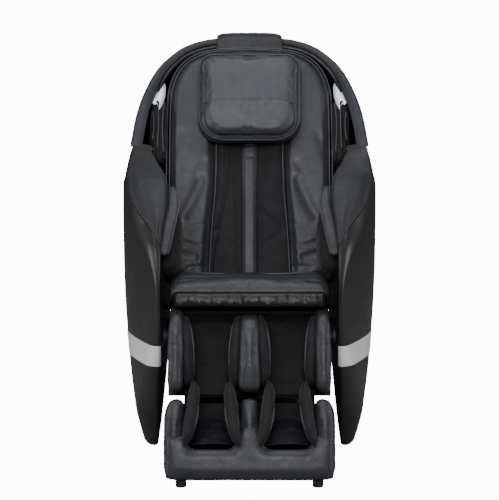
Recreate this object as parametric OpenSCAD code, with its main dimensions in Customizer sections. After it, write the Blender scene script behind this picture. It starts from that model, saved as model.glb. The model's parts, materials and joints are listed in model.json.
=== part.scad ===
// Reclining massage chair: hooded backrest, closed arm boxes, and a two-stage leg rest.
// Millimetres. +X is to the right seen from the front, the chair faces -Y, and +Z is up.
// The origin lies on the floor, in the middle of the chair's box.
// "left" is the -X side and "right" is the +X side. Side views are drawn as [y, z] points.

/* [Envelope] */
// Half of the overall width, at the widest part of the arm boxes
half_w = 379; // [375:1:383]
// Height of the top of the hood
hood_h = 1200; // [1198:1:1204]
// Wall of the plastic shells
wall = 5; // [4:0.5:6]
// Thickness of the arm boxes' inner walls
inner_t = 8; // [6:1:9]
// Thickness of the leather arm covers
cover_t = 12; // [10:1:14]

/* [Backrest] */
// Lean of the backrest from upright, in degrees
back_lean = 22; // [21:0.5:23]
// Depth of the recline axis
recline_y = 100; // [98:1:102]
// Height of the recline axis
recline_z = 470; // [468:1:472]
// Radius of the round joint between hood and arm boxes
joint_r = 400; // [398:1:402]
// Half width of the back pad
back_half = 262; // [258:1:263]
// Distance of each guide rod from the middle
rod_x = 128; // [126:1:130]
// Radius of the guide rods
rod_r = 8; // [7:0.5:9]

/* [Leg rest] */
// Lean of the leg rest from upright, in degrees
leg_lean = 19; // [18.5:0.5:19.5]
// Depth of the leg rest's hinge
leg_y = -385; // [-386:1:-384]
// Height of the leg rest's hinge
leg_z = 375; // [374:1:376]
// Half width of the calf section
calf_half = 221; // [219:1:221]
// Half width of the foot section
foot_half = 230; // [228:1:231]

/* [Base] */
// Depth of the tilt axis
tilt_y = 100; // [98:1:102]
// Height of the tilt axis
tilt_z = 270; // [268:1:272]
// Radius of the transport wheels
wheel_r = 34; // [32:1:35]
// Radius of the main hinge pins
pin_r = 9; // [8.5:0.5:9.5]

/* [Hidden] */
$fn = 64;

clear = 0.05;                 // running clearance of pins and rods in their bores
gap = 0.5;                    // gap between neighbouring parts that move apart
leather = [0.12, 0.12, 0.13];
matte = [0.15, 0.16, 0.18];
plastic = [0.10, 0.09, 0.09];
fabric = [0.07, 0.07, 0.08];
silver = [0.78, 0.79, 0.80];
steel = [0.35, 0.36, 0.38];

// ---- Helpers -------------------------------------------------------------------------

// A side view of [y, z] points made solid from x0 to x1
module side_prism(pts, x0, x1)
    translate([x0, 0, 0]) rotate([90, 0, 90]) linear_extrude(x1 - x0) polygon(pts);

// A front view of [x, z] points made solid from y0 to y1
module front_prism(pts, y0, y1)
    translate([0, y1, 0]) rotate([90, 0, 0]) linear_extrude(y1 - y0) polygon(pts);

// A box between two corners
module block(a, b) translate(a) cube(b - a);

// A cylinder along X between x0 and x1, through the side-view point p
module bar_x(p, x0, x1, r) translate([x0, p[0], p[1]]) rotate([0, 90, 0]) cylinder(h = x1 - x0, r = r);

// Both halves of a symmetric part, from its +X half
module both() {
    children();
    mirror([1, 0, 0]) children();
}

// One side of a handed part, from its +X form: s is -1 for left and 1 for right
module side_of(s) mirror([s < 0 ? 1 : 0, 0, 0]) children();

// Frames of the backrest and the leg rest, each at its own hinge and along its own lean
module on_back() translate([0, recline_y, recline_z]) rotate([-back_lean, 0, 0]) children();
module on_leg() translate([0, leg_y, leg_z]) rotate([-leg_lean, 0, 0]) children();

// Frame of the tilt actuator, whose rod runs up along +Z
module on_tilt_drive() translate([0, -292, 66]) rotate([-tilt_drive_lean, 0, 0]) children();

// Points of an arc, as [y, z]
function arc(c, r, a0, a1, n = 12) =
    [for (i = [0 : n]) let(a = a0 + (a1 - a0) * i / n) c + r * [cos(a), sin(a)]];

// One point of a smooth curve through p1 and p2, and the whole open curve through pts
function mid_pt(p0, p1, p2, p3, t) = 0.5 * (2 * p1 + (p2 - p0) * t
    + (2 * p0 - 5 * p1 + 4 * p2 - p3) * t * t + (3 * p1 - p0 - 3 * p2 + p3) * t * t * t);
function smooth(pts, n = 4) = let(m = len(pts) - 1) concat(
    [for (i = [0 : m - 1], j = [0 : n - 1])
        mid_pt(pts[max(i - 1, 0)], pts[i], pts[i + 1], pts[min(i + 2, m)], j / n)], [pts[m]]);

// A closed outline moved inwards by d; the outline runs clockwise or anticlockwise (turn = -1 or 1)
function unit(v) = v / norm(v);
function inward(p, q, turn) = let(e = unit(q - p)) turn * [-e[1], e[0]];
function shrink(pts, d, turn) = [for (i = [0 : len(pts) - 1])
    let(m = len(pts), p = pts[i], a = inward(pts[(i + m - 1) % m], p, turn),
        b = inward(p, pts[(i + 1) % m], turn), h = a + b)
    p + h * (d / max(0.6, h * h / 2))];

// ---- Outer shape of the chair --------------------------------------------------------

recline_c = [recline_y, recline_z];
leg_c = [leg_y, leg_z];
tilt_c = [tilt_y, tilt_z];
inner_x = 266;                // inner wall of the arm boxes, beside the seat
nose_z = 470;                 // height of the foremost point of the arm boxes
nose_slope = 22.7;            // slope of the arm boxes' nose below it, in degrees
seam_z = 294;                 // bottom of the silver band
band_h = 62;                  // height of the silver band
tilt_drive_lean = 19.3;

// Front view of the whole chair, anticlockwise, drawn for a half width of 379 and a height of 1200
function mirrored(half) = concat(half,
    [for (i = [len(half) - 2 : -1 : 1]) [-half[i][0], half[i][1]]]);
front_line = [[0, -10], [318, -10], [334, 45], [344, 80], [350, 113], [358, 175], [364.5, 237], [369.5, 300],
    [373, 360], [376, 420], [378, 480], [379, 550], [379, 640], [378, 700], [376, 735], [372.5, 779],
    [366.5, 828], [361.5, 865], [358.5, 892], [355.5, 919], [352, 947], [346.5, 976], [338.5, 1005],
    [327, 1035], [313.5, 1065], [295.5, 1096], [269.5, 1127], [229.5, 1159], [206, 1171.5], [175, 1183],
    [128, 1193], [64, 1198.5], [0, 1200]];
function front_view(inset) =
    shrink([for (p = mirrored(front_line)) [p[0] * half_w / 379, p[1] * hood_h / 1200]], inset, 1);

// Half of the plan view: a nose at the front, and a rounded rear
function plan_half(inset) = concat(
    [[0, -480]], [[236, -480]],
    [for (y = [-460 : 41 : -50])
        [half_w - inset - 117 * pow((y + 50) / 390, 2), y]],
    [for (a = [0 : 7.5 : 90])
        [(half_w - inset) * pow(cos(a), 2 / 2.6), -50 + (668 - inset) * pow(sin(a), 2 / 2.6)]]);

// Side view of an arm box, clockwise from the round joint's top
arm_side = concat(
    arc(recline_c, joint_r, 95, -22, 16),
    smooth([[430, 285], [250, 150], [0, 62], [-170, 24], [-262, 22]], 3),
    smooth([[-285, 50], [-345, 160], [-395, 270], [-430, 370], [-448, 470], [-440, 550],
        [-405, 625], [-350, 680], [-280, 745], [-200, 808], [-100, 838], [0, 856]], 2));

// Side view line of the hood's front edge, and of its top and rear
rim_line = smooth([[66, 874], [120, 913], [190, 968], [265, 1038], [325, 1108], [362, 1165],
    [385, 1203]], 2);
rear_line = smooth([[425, 1202], [490, 1187], [545, 1140], [582, 1062], [601, 960], [605, 850],
    [596, 735], [572, 620], [542, 540], [503, 482]], 2);

// Seam between the leather arm cover and the outer panel
seam_line = smooth([[135, 880], [60, 795], [-50, 720], [-180, 680], [-300, 656], [-460, 632]], 2);

module arm_core(inset) {
    plan = plan_half(inset);
    intersection() {
        union() {
            translate([0, 0, nose_z]) linear_extrude(600) polygon(plan);
            intersection() {
                block([0, -520, 0], [500, 700, nose_z]);
                translate([0, -448, nose_z]) rotate([nose_slope, 0, 0]) translate([0, 0, -560])
                    linear_extrude(900)
                        polygon([for (p = plan) [p[0], (p[1] + 448) * cos(nose_slope)]]);
            }
        }
        front_prism(front_view(inset), -600, 700);
        side_prism(shrink(arm_side, inset, -1), 0, 500);
        inner_wall_space(inset);
    }
}

// The space outward of an arm box's inner wall
module inner_wall_space(inset) intersection() {
    front_prism([[276 + inset, -1], [266 + inset, 270], [250 + inset, 430],
        [250 + inset, 1300], [500, 1300], [500, -1]], -600, 700);
    linear_extrude(1300) polygon([[250 + inset, -480], [inner_x + inset, -240],
        [inner_x + inset, 700], [500, 700], [500, -480]]);
}

// Everything above the seam, in side view
module above_seam() side_prism(concat(seam_line, [[-600, 632], [-600, 1300], [700, 1300], [700, 880]]),
    0, 600);

module arm_cover(s) color(matte) side_of(s) difference() {
    intersection() {
        arm_core(0);
        above_seam();
    }
    arm_core(cover_t);
}

module side_panel(s) color(plastic) side_of(s) difference() {
    intersection() {
        arm_core(0);
        block([0, -600, seam_z + band_h + gap], [600, 700, 1000]);
    }
    arm_core(wall);
    translate([0, 0, -gap]) above_seam();
    inner_strip(gap);
}

module trim_band(s) color(silver) side_of(s) difference() {
    intersection() {
        arm_core(0);
        block([0, -600, seam_z + gap], [600, 700, seam_z + band_h]);
    }
    arm_core(wall);
    inner_strip(gap);
}

module lower_panel(s) color(plastic) side_of(s) difference() {
    intersection() {
        arm_core(0);
        block([0, -600, 0], [600, 700, seam_z]);
    }
    arm_core(wall);
}

// The slab just inside an arm box's inner wall, up to the leather cover
module inner_strip(grow) difference() {
    translate([0, 0, -grow]) inner_wall_space(-1);
    inner_wall_space(inner_t + grow);
}

// Inner wall of the arm box, between the lower panel and the leather cover
module arm_inner(s) color(plastic) side_of(s) difference() {
    intersection() {
        side_prism(shrink(arm_side, wall + 1, -1), 240, 290);
        inner_wall_space(0);
        block([0, -600, seam_z + gap], [600, 700, 1000]);
    }
    inner_wall_space(inner_t);
    translate([0, 0, -gap]) above_seam();
}

// Hand massager: a stitched flap over an air pad, on the inside of the arm
module hand_flap(s) color(leather) side_of(s) difference() {
    intersection() {
        side_prism([[-240, 790], [-150, 770], [-130, 690], [-180, 600], [-330, 560], [-392, 600],
            [-385, 640], [-310, 720]], 216, 280);
        front_prism([[216, 540], [280, 540], [280, 800], [222, 800]], -420, -100);
    }
    inner_wall_space(0);
}

module hand_pad(s) color(fabric) side_of(s) intersection() {
    side_prism([[-200, 700], [-150, 690], [-150, 600], [-190, 537], [-330, 537], [-350, 570],
        [-300, 650]], 188, 216);
    front_prism([[196, 530], [216, 530], [216, 710], [206, 710], [190, 640]], -420, -100);
}

// ---- Hood ----------------------------------------------------------------------------

rim_depth = 30;               // depth of the rim behind the hood's front edge
rim_t = 26;                   // thickness of the rim

module hood_core(inset) intersection() {
    front_prism(front_view(inset), 0, 700);
    side_prism(shrink(concat([[-100, 470], [-100, 1203]], rear_line), inset, -1), -500, 500);
    translate([0, 0, 300]) linear_extrude(1000) polygon(mirrored(plan_half(inset)));
}

// Everything behind the hood's front edge, and the same without the round joint
module behind_edge(y_shift)
    side_prism(concat([for (p = rim_line) p + [y_shift, 0]], [[700, 1260], [700, 400], [0, 400]]),
        -500, 500);

module hood_region(y_shift) difference() {
    behind_edge(y_shift);
    bar_x(recline_c, -600, 600, joint_r + 3);
}

module hood_shell() color(matte) difference() {
    intersection() {
        hood_core(0);
        hood_region(rim_depth + gap);
    }
    hood_core(wall);
}

module hood_rim() color(matte) difference() {
    intersection() {
        hood_core(0);
        hood_region(0);
    }
    behind_edge(rim_depth);
    hood_core(rim_t);
}

// Speaker pods and shoulder air pads, on the inside of the hood
module speaker(s) color(silver) side_of(s) difference() {
    intersection() {
        hood_core(rim_t + 1);
        side_prism([[240, 1012], [290, 1078], [330, 1074], [318, 1010], [268, 962], [246, 970]],
            back_half + 5, 380);
    }
    bar_x([284, 1018], 200, back_half + 11, 22);
}

module shoulder_pad(s) color(fabric) side_of(s) intersection() {
    on_back() block([back_half + 4, -80, 380], [297, 40, 514]);
    hood_core(rim_t + 2);
    hood_region(rim_depth + 2);
}

// ---- Backrest ------------------------------------------------------------------------

pad_front = -46;              // front face of the back pad, from the recline axis
pad_top = 716;                // top of the back pad, along the backrest
band_half = 108;              // half width of the stretch fabric over the massage opening
strip_half = 21;              // half width of the leather strip up its middle
back_t = 84;                  // thickness of the back pad
pad_cut_z = 44;               // the pad's sides start above the recline lugs

module back_pad() color(leather) on_back() difference() {
    union() {
        intersection() {
            block([-190, pad_front, -46], [190, pad_front + back_t, pad_top]);
            union() {
                block([-300, -60, 0], [300, 60, pad_top]);
                bar_x([0, 0], -300, 300, -pad_front);
            }
        }
        translate([0, 0, pad_cut_z]) linear_extrude(pad_top - pad_cut_z - 70) polygon([
            [-back_half, -64], [-back_half + 20, -84], [-190, pad_front], [190, pad_front],
            [back_half - 20, -84], [back_half, -64], [back_half, 20], [-back_half, 20]]);
    }
    translate([0, 0, -60]) block([-band_half, -100, 0], [band_half, 100, pad_top - 36]);
    block([-back_half - 1, 6, -60], [-rod_x + 10, 100, pad_top + 1]);
    block([rod_x - 10, 6, -60], [back_half + 1, 100, pad_top + 1]);
}

// Stretch fabric on either side of the centre strip, over the massage heads
module back_bands() color(fabric) on_back() both()
    block([strip_half + gap, pad_front + 2, -20], [band_half - gap, pad_front + 10, 620]);

module centre_strip() color(leather) on_back()
    block([-strip_half, pad_front, -20], [strip_half, pad_front + 12, 620]);

frame_y0 = 40;                // front of the backrest frame
frame_y1 = 92;                // back of the backrest frame
travel_lo = 110;              // lowest place of the massage carriage along the backrest
screw_r = 7;                  // radius of the lead screw
rod_y = 66;                   // depth of the guide rods and the lead screw
lug_in = 196;                 // inner face of the backrest's hinge lugs
lug_t = 8;                    // thickness of hinge lugs
crank_r = 110;                // length of the recline crank
crank_a = -71;                // direction of the crank at rest, in side view
link_pin_r = 6;               // radius of the actuators' link pins
crank_pin = recline_c + crank_r * [cos(crank_a), sin(crank_a)];

module back_frame() color(steel) {
    on_back() {
        both() {
            block([176, frame_y0, -30], [lug_in, frame_y1, 690]);
            difference() {
                union() {
                    bar_x([0, 0], lug_in, lug_in + lug_t, 24);
                    block([lug_in, 0, -24], [lug_in + lug_t, frame_y1, 30]);
                }
                bar_x([0, 0], lug_in - 1, lug_in + lug_t + 1, pin_r + clear);
            }
        }
        for (z = [-30, 670]) difference() {
            block([-176, frame_y0 + 6, z], [176, frame_y1, z + 20]);
            for (x = [-rod_x, 0, rod_x]) translate([x, rod_y, z - 1])
                cylinder(h = 22, r = x == 0 ? screw_r : rod_r);
        }
        both() block([196, frame_y1 - 12, 408], [330, frame_y1, 436]);
    }
    // crank for the recline actuator, hanging from the lower cross bar
    side_prism([recline_c + [30, -40], recline_c + [72, -52], crank_pin + [14, 2],
        crank_pin + [6, -14], crank_pin + [-12, -8]], -66, -54);
    bar_x(crank_pin, -78, -42, link_pin_r);
}

module guide_rods() color(silver) on_back() both()
    translate([rod_x, rod_y, -30]) cylinder(h = 720, r = rod_r);

module lead_screw() color(silver) on_back()
    translate([0, rod_y, -30]) cylinder(h = 720, r = screw_r);

// ---- Massage mechanism ---------------------------------------------------------------

carriage_h = 110;             // height of the carriage along the rods
head_x = 60;                  // distance of each kneading head from the middle
head_r = 40;                  // radius of its disc
spindle_r = 7;

module massage_carriage() color(steel) on_back() translate([0, 0, travel_lo]) difference() {
    union() {
        block([-rod_x, rod_y - 16, 0], [rod_x, rod_y - 10, carriage_h]);
        for (x = [-rod_x, 0, rod_x]) translate([x, rod_y, 0]) cylinder(h = carriage_h, r = 16);
        for (s = [-1, 1]) translate([s * head_x, rod_y - 15, carriage_h / 2]) rotate([90, 0, 0])
            cylinder(h = 17, r = 16);
    }
    for (x = [-rod_x, 0, rod_x]) translate([x, rod_y, -1])
        cylinder(h = carriage_h + 2, r = (x == 0 ? screw_r : rod_r) + clear);
    for (s = [-1, 1]) translate([s * head_x, rod_y + 1, carriage_h / 2]) rotate([90, 0, 0])
        cylinder(h = 60, r = spindle_r + clear);
}

module massage_motor() color(plastic) on_back() translate([0, 0, travel_lo]) {
    for (s = [-1, 1]) translate([s * head_x, rod_y - 10, carriage_h / 2]) rotate([-90, 0, 0])
        cylinder(h = 56, r = 27);
}

// Kneading head: a disc with two rubber rollers, which turns on a spindle
module knead_head(s) color(fabric) on_back()
    translate([s * head_x, 0, travel_lo + carriage_h / 2]) {
        translate([0, rod_y - 34, 0]) rotate([90, 0, 0]) cylinder(h = 8, r = head_r);
        translate([0, rod_y - 11, 0]) rotate([90, 0, 0]) cylinder(h = 24, r = spindle_r);
        for (z = [-22, 22]) translate([0, 0, z]) {
            translate([0, 28, 0]) rotate([90, 0, 0]) cylinder(h = 34, r = 5);
            translate([0, -13, 0]) sphere(r = 18.5);
        }
    }

// ---- Pillow --------------------------------------------------------------------------

pillow_lo = 396;              // bottom of the pillow along the backrest
pillow_hi = 698;              // top of the pillow
pillow_half = 170;            // half width of the pillow
flap_half = 106;              // half width of the flap that carries it

function pillow_face(d) = [[-pillow_half + 26 + d, pillow_lo + d], [pillow_half - 26 - d, pillow_lo + d],
    [pillow_half - d, pillow_lo + 60], [pillow_half - d, pillow_hi - 100],
    [pillow_half - 26 - d, pillow_hi - d], [-pillow_half + 26 + d, pillow_hi - d],
    [-pillow_half + d, pillow_hi - 100], [-pillow_half + d, pillow_lo + 60]];

module pillow() color(leather) on_back() {
    front_prism(pillow_face(0), pad_front - 58, pad_front - 4);
    front_prism(pillow_face(12), pad_front - 74, pad_front - 58);
}

// Leather flap from the pillow's top, over the rim and down behind it
module pillow_flap() color(leather) side_prism(concat(
    [[330, 1152], [352, 1196]], smooth([[375, 1214], [405, 1216], [455, 1208], [500, 1196]], 3),
    [[497, 1187], [452, 1200], [405, 1207], [378, 1205.5], [358, 1190], [338, 1148]]),
    -flap_half, flap_half);

// ---- Seat ----------------------------------------------------------------------------

seat_half = 226;              // half width of the seat cushion
rail_in = 206;                // inner face of the seat frame's side rails
rail_out = 226;               // outer face of the seat frame's side rails
rail_lo = 364;                // underside of the seat frame
rail_hi = 396;                // top of the seat frame
seat_front = -285;            // front of the seat frame
leg_lug_in = 231;             // inner face of the leg rest's hinge brackets
leg_lug_out = 239;            // outer face of the same

module seat_frame() color(steel) {
    both() {
        difference() {
            union() {
                block([rail_in, seat_front, rail_lo], [rail_out, 150, rail_hi]);
                // upright lug of the recline hinge
                side_prism(concat([[70, rail_hi - 10], [130, rail_hi - 10]],
                    arc(recline_c, 24, 0, 180)), rail_in, rail_in + lug_t);
                // hanging lug of the tilt hinge
                side_prism(concat([[150, rail_lo + 10], [50, rail_lo + 10]],
                    arc(tilt_c, 24, 180, 360)), rail_in, rail_in + lug_t);
                // forward bracket of the leg rest's hinge
                side_prism(concat([[seat_front + 60, rail_lo], [seat_front + 60, rail_hi]],
                    arc(leg_c, 20, 90, 270)), leg_lug_in, leg_lug_out);
                block([rail_out, seat_front + 10, rail_lo], [leg_lug_in, seat_front + 60, rail_hi]);
                // arm box brackets
                for (y = [-200, 60]) block([rail_out, y, rail_lo], [inner_x, y + 40, rail_lo + 20]);
            }
            bar_x(recline_c, rail_in - 1, rail_in + lug_t + 1, pin_r);
            bar_x(tilt_c, rail_in - 1, rail_in + lug_t + 1, pin_r + clear);
            bar_x(leg_c, leg_lug_in - 1, leg_lug_out + 1, pin_r);
        }
    }
    block([-rail_in, seat_front, rail_lo], [rail_in, seat_front + 20, rail_hi]);
    block([-rail_in, -40, rail_lo + 20], [rail_in, -20, rail_hi]);
    // hangers of the two actuators, and the crank pin of the tilt drive
    block([-74, -268, 346], [-46, -250, rail_hi - 10]);
    block([46, -38, 280], [74, -20, rail_hi - 10]);
    bar_x([-200, 330], -22, 22, link_pin_r);
    both() side_prism([[-214, 322], [-200, 316], [-186, 322], [-180, rail_lo],
        [-180, rail_hi - 10], [-270, rail_hi - 10], [-270, rail_lo]], 14, 22);
}

// The recline hinge's pins and the leg rest hinge's pins, pressed into the seat frame
module pivot_pins() color(silver) both() {
    bar_x(recline_c, lug_in - 4, rail_in + lug_t, pin_r);
    bar_x(leg_c, 210, leg_lug_out, pin_r);
}

module seat_pan() color(steel) block([-rail_in + 4, seat_front + 2, rail_hi], [rail_in - 4, 36, rail_hi + 6]);

module seat_cushion() color(leather) side_prism(concat([[40, rail_hi + 6.5]],
    [[-282, rail_hi + 6.5], [-296, 466], [-384, 467]],
    smooth([[-392, 476], [-386, 500], [-362, 523], [-300, 535], [-200, 520], [-60, 488], [30, 470],
        [42, 458]], 3)), -seat_half, seat_half);

module seat_skirt() color(leather) side_prism([[-393, 502], [-412, 498], [-431, 474],
    [-430, 464], [-418, 464], [-400, 482], [-394, 480]], -218, 218);

// ---- Linear actuators ----------------------------------------------------------------

recline_rod_z = recline_z - 0.973 * crank_r;
legrest_rod_z = 294;
tube_r = 18;                  // outer radius of an actuator's tube
drive_r = 8;                  // radius of its rod

// An actuator along +Z from its foot: a tube with a bore, and a motor beside it
module actuator(len, motor_x) {
    difference() {
        cylinder(h = len, r = tube_r);
        translate([0, 0, 20]) cylinder(h = len, r = drive_r + clear);
    }
    translate([motor_x, 0, 4]) cylinder(h = 70, r = 22);
    translate([min(0, motor_x), -14, 0]) cube([abs(motor_x), 28, 24]);
}

// A rod along +Z with a forked end whose slots let the link pin ride sideways
module actuator_rod(len, slot, cheek_x) {
    cylinder(h = len, r = drive_r);
    translate([-cheek_x - 6, -12, len - 8]) cube([2 * cheek_x + 12, 24, 10]);
    for (s = [-1, 1]) translate([s * (cheek_x + 3), 0, 0]) difference() {
        translate([-3, -slot - 14, len]) cube([6, 2 * slot + 28, 34]);
        for (y = [-slot, slot]) translate([-4, y, len + 18]) rotate([0, 90, 0])
            cylinder(h = 8, r = link_pin_r + 2);
        translate([-4, -slot, len + 18 - link_pin_r - 2]) cube([8, 2 * slot, 2 * link_pin_r + 4]);
    }
}

module recline_actuator() color(plastic) translate([-60, -250, recline_rod_z]) rotate([-90, 0, 0])
    actuator(230, -42);

module recline_rod() color(silver) translate([-60, -140, recline_rod_z]) rotate([-90, 0, 0])
    actuator_rod(crank_pin[0] + 140 - 18, 5, 8);

module legrest_actuator() color(plastic) translate([60, -38, legrest_rod_z]) rotate([90, 0, 0])
    actuator(230, 42);

module legrest_rod() color(silver) translate([60, -62, legrest_rod_z]) rotate([90, 0, 0])
    actuator_rod(-62 - leg_pin[0] - 18, 11, 8);

module tilt_actuator() color(plastic) on_tilt_drive() actuator(170, -42);

module tilt_rod() color(silver) on_tilt_drive() translate([0, 0, 26])
    actuator_rod(tilt_len - 18 - 26, 4, 6);

// ---- Base ----------------------------------------------------------------------------

tilt_len = norm([-200, 330] - [-292, 66]);
base_in = 170;                // inner face of the base's rails
base_out = 200;               // outer face of the base's rails
base_y0 = -310;               // front of the base
base_y1 = 425;                // rear of the base
base_z0 = 25;                 // underside of the rails
base_z1 = 55;                 // top of the rails
wheel_y = 388;                // place of the transport wheels
wheel_z = wheel_r + 4;
axle_r = 6;                   // radius of the wheels' axles

module base_frame() color(steel) {
    both() {
        block([base_in, base_y0, base_z0], [base_out, base_y1, base_z1]);
        // upright of the tilt hinge, with its stub pin
        side_prism(concat([[40, base_z1 - 5]], arc(tilt_c, 22, 180, 0), [[160, base_z1 - 5]]),
            192, 204);
        bar_x(tilt_c, 192, 216, pin_r);
        bar_x([wheel_y, wheel_z], 138, base_in + 2, axle_r);
    }
    for (y = [base_y0, 200, 318]) block([-base_in, y, base_z0], [base_in, y + 25, base_z1 - 8]);
    block([-base_in, -150, 38], [base_in, 200, 42]);
    // foot of the tilt actuator
    intersection() {
        on_tilt_drive() block([-26, -22, -60], [26, 22, 0]);
        block([-30, -350, base_z0], [30, -240, 100]);
    }
    block([-30, base_y0 + 20, base_z0], [30, -262, base_z1 - 8]);
}

module base_feet() color(plastic) both() for (y = [base_y0 + 40, 300])
    translate([(base_in + base_out) / 2, y, 0]) cylinder(h = base_z0, r = 15);

module control_box() color(plastic) difference() {
    block([-160, 40, 42], [-20, 180, 140]);
    block([-157, 43, 45], [-23, 177, 137]);
    // cut-outs for the power inlet and the rocker switch
    block([-142, 170, 76], [-104, 190, 104]);
    block([-84, 170, 79], [-60, 190, 101]);
}

module power_inlet() color(plastic) difference() {
    union() {
        block([-142, 158, 76], [-104, 181, 104]);
        block([-146, 180, 72], [-100, 183, 108]);
    }
    block([-137, 164, 80], [-109, 190, 100]);
    for (x = [-131, -123, -115]) translate([x, 0, 90]) rotate([-90, 0, 0]) translate([0, 0, 158])
        cylinder(h = 7, r = 1.5);
}

// The rocker turns about the middle of its cut-out
module rocker_switch() color(plastic) side_prism([[170, 96], [180.5, 98.5], [183.5, 90],
    [183.5, 81.5], [170, 84]], -82.5, -61.5);

module air_pump() color(matte) {
    block([20, 60, 46], [150, 180, 120]);
    for (x = [50, 120]) translate([x, 120, 120]) cylinder(h = 26, r = 26);
    for (x = [30, 140], y = [70, 170]) translate([x, y, 42]) cylinder(h = 4, r = 8);
}

module valve_block() color(plastic) {
    block([30, -110, 42], [150, -60, 72]);
    for (i = [0 : 4]) translate([45 + 22 * i, -85, 72]) cylinder(h = 28, r = 8);
}

module wheel(s) color(fabric) side_of(s) translate([142, wheel_y, wheel_z]) rotate([0, 90, 0])
    difference() {
        union() {
            cylinder(h = 24, r = wheel_r - 4);
            translate([0, 0, 4]) cylinder(h = 16, r = wheel_r);
        }
        translate([0, 0, -1]) cylinder(h = 26, r = axle_r + clear);
    }

// ---- Leg rest ------------------------------------------------------------------------

leg_front = -85;              // front plane of the leg rest, from its hinge
well_back = 22;               // back of the calf wells
calf_back = 50;               // back of the calf section
calf_lo = -163;               // bottom of the calf section
calf_in = 185;                // inner face of the calf section's side walls
divider = 24;                 // half width of the wall between the wells
tube_x = 150;                 // distance of the foot section's tubes from the middle
tube_y = 72;                  // depth of those tubes
leg_pin_at = [74, -50];       // the actuator's link pin, in the leg rest's own frame
leg_pin = leg_c + [leg_pin_at[0] * cos(leg_lean) + leg_pin_at[1] * sin(leg_lean),
    -leg_pin_at[0] * sin(leg_lean) + leg_pin_at[1] * cos(leg_lean)];

// Room for the fork of the actuator's rod, as the leg rest swings up past it
module fork_room() for (x = [44, 67]) block([x, calf_back - 15, -92], [x + 9, calf_back + 9, -8]);

module legrest_frame() color(steel) on_leg() {
    difference() {
        block([-228, calf_back, -160], [228, calf_back + 8, 20]);
        fork_room();
    }
    both() {
        difference() {
            side_prism(concat([[calf_back + 8, -60], [calf_back + 8, 20]], arc([0, 0], 22, 90, 240)),
                222, 228);
            bar_x([0, 0], 221, 229, pin_r + clear);
        }
        difference() {
            union() {
                translate([tube_x, tube_y, -160]) cylinder(h = 145, r = 12);
                block([tube_x - 8, calf_back + 4, -160], [tube_x + 8, tube_y, -15]);
            }
            translate([tube_x, tube_y, -161]) cylinder(h = 147, r = 8 + clear);
        }
    }
    side_prism([[calf_back + 4, -30], leg_pin_at + [6, 8], leg_pin_at + [9, -6],
        leg_pin_at + [-4, -10], [calf_back + 4, -80]], 54, 66);
    bar_x(leg_pin_at, 42, 78, link_pin_r);
}

module calf_shell() color(leather) on_leg() difference() {
    intersection() {
        block([-calf_half, leg_front, calf_lo], [calf_half, calf_back, -leg_front]);
        union() {
            block([-300, -200, -300], [300, 200, 0]);
            bar_x([0, 0], -300, 300, -leg_front);
        }
    }
    both() {
        block([divider, leg_front - 1, calf_lo - 1], [calf_in, well_back, -leg_front + 1]);
        bar_x([0, 0], calf_in - 1, calf_half + 1, pin_r + 3);
    }
    block([-300, well_back, 20], [300, 100, 100]);
    fork_room();
}

// Air pads on the walls of the calf wells
module calf_pads() color(fabric) on_leg() both() {
    block([divider, -70, -150], [divider + 18, 12, 20]);
    block([calf_in - 18, -70, -150], [calf_in, 12, 20]);
}

// ---- Foot section --------------------------------------------------------------------

foot_hi = -177;               // top of the foot section, along the leg rest
foot_back = 60;               // back of the foot section
foot_in = 180;                // inner face of its side walls
foot_z = 20;                  // height of its underside over the floor
lip_z = 104;                  // height of the wells' front lip
heel = [-429, 136];           // back end of the soles, in side view

module foot_well(x0, x1) intersection() {
    side_prism([[-700, lip_z], [-600, lip_z], heel, [-300, 160], [-300, 400], [-700, 400]], x0, x1);
    on_leg() block([x0, -200, -460], [x1, foot_back - 24, 100]);
}

module foot_shell() color(leather) difference() {
    intersection() {
        on_leg() block([-foot_half, leg_front, -460], [foot_half, foot_back, foot_hi]);
        block([-300, -700, foot_z], [300, 0, 400]);
    }
    both() foot_well(25, foot_in);
}

// Air pads on the walls of the foot wells
module foot_pads() color(fabric) both() intersection() {
    union() {
        block([25, -700, 0], [41, 0, 400]);
        block([foot_in - 16, -700, 0], [foot_in, 0, 400]);
    }
    translate([0, 0, 9]) foot_well(20, 200);
    on_leg() block([0, leg_front + 10, -460], [300, foot_back - 24.5, foot_hi - 8]);
}

module sole_plates() color(matte) both() intersection() {
    difference() {
        foot_well(30, foot_in - 5);
        translate([0, 0, 8]) foot_well(20, 200);
    }
    on_leg() block([0, leg_front + 4, -460], [300, foot_back - 26, foot_hi - 2]);
}

module foot_tubes() color(silver) on_leg() both() {
    translate([tube_x, tube_y, -340]) cylinder(h = 310, r = 8);
    block([tube_x - 10, foot_back, -340], [tube_x + 10, tube_y + 4, -300]);
}

module foot_glides() color(plastic) both()
    translate([185, -560, 0]) cylinder(h = foot_z, r = 15);

// ---- The chair -----------------------------------------------------------------------

base_frame();
base_feet();
control_box();
air_pump();
valve_block();
power_inlet();
tilt_actuator();
wheel(-1);  // wheel_left
wheel(1);  // wheel_right
rocker_switch();
tilt_rod();
seat_frame();
seat_pan();
seat_cushion();
seat_skirt();
pivot_pins();
recline_actuator();
legrest_actuator();
side_panel(-1);  // side_panel_left
side_panel(1);  // side_panel_right
trim_band(-1);  // trim_band_left
trim_band(1);  // trim_band_right
lower_panel(-1);  // lower_panel_left
lower_panel(1);  // lower_panel_right
arm_cover(-1);  // arm_cover_left
arm_cover(1);  // arm_cover_right
arm_inner(-1);  // arm_inner_left
arm_inner(1);  // arm_inner_right
hand_flap(-1);  // hand_flap_left
hand_flap(1);  // hand_flap_right
hand_pad(-1);  // hand_pad_left
hand_pad(1);  // hand_pad_right
recline_rod();
legrest_rod();
back_frame();
guide_rods();
lead_screw();
hood_shell();
hood_rim();
back_pad();
back_bands();
centre_strip();
shoulder_pad(-1);  // shoulder_pad_left
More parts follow.
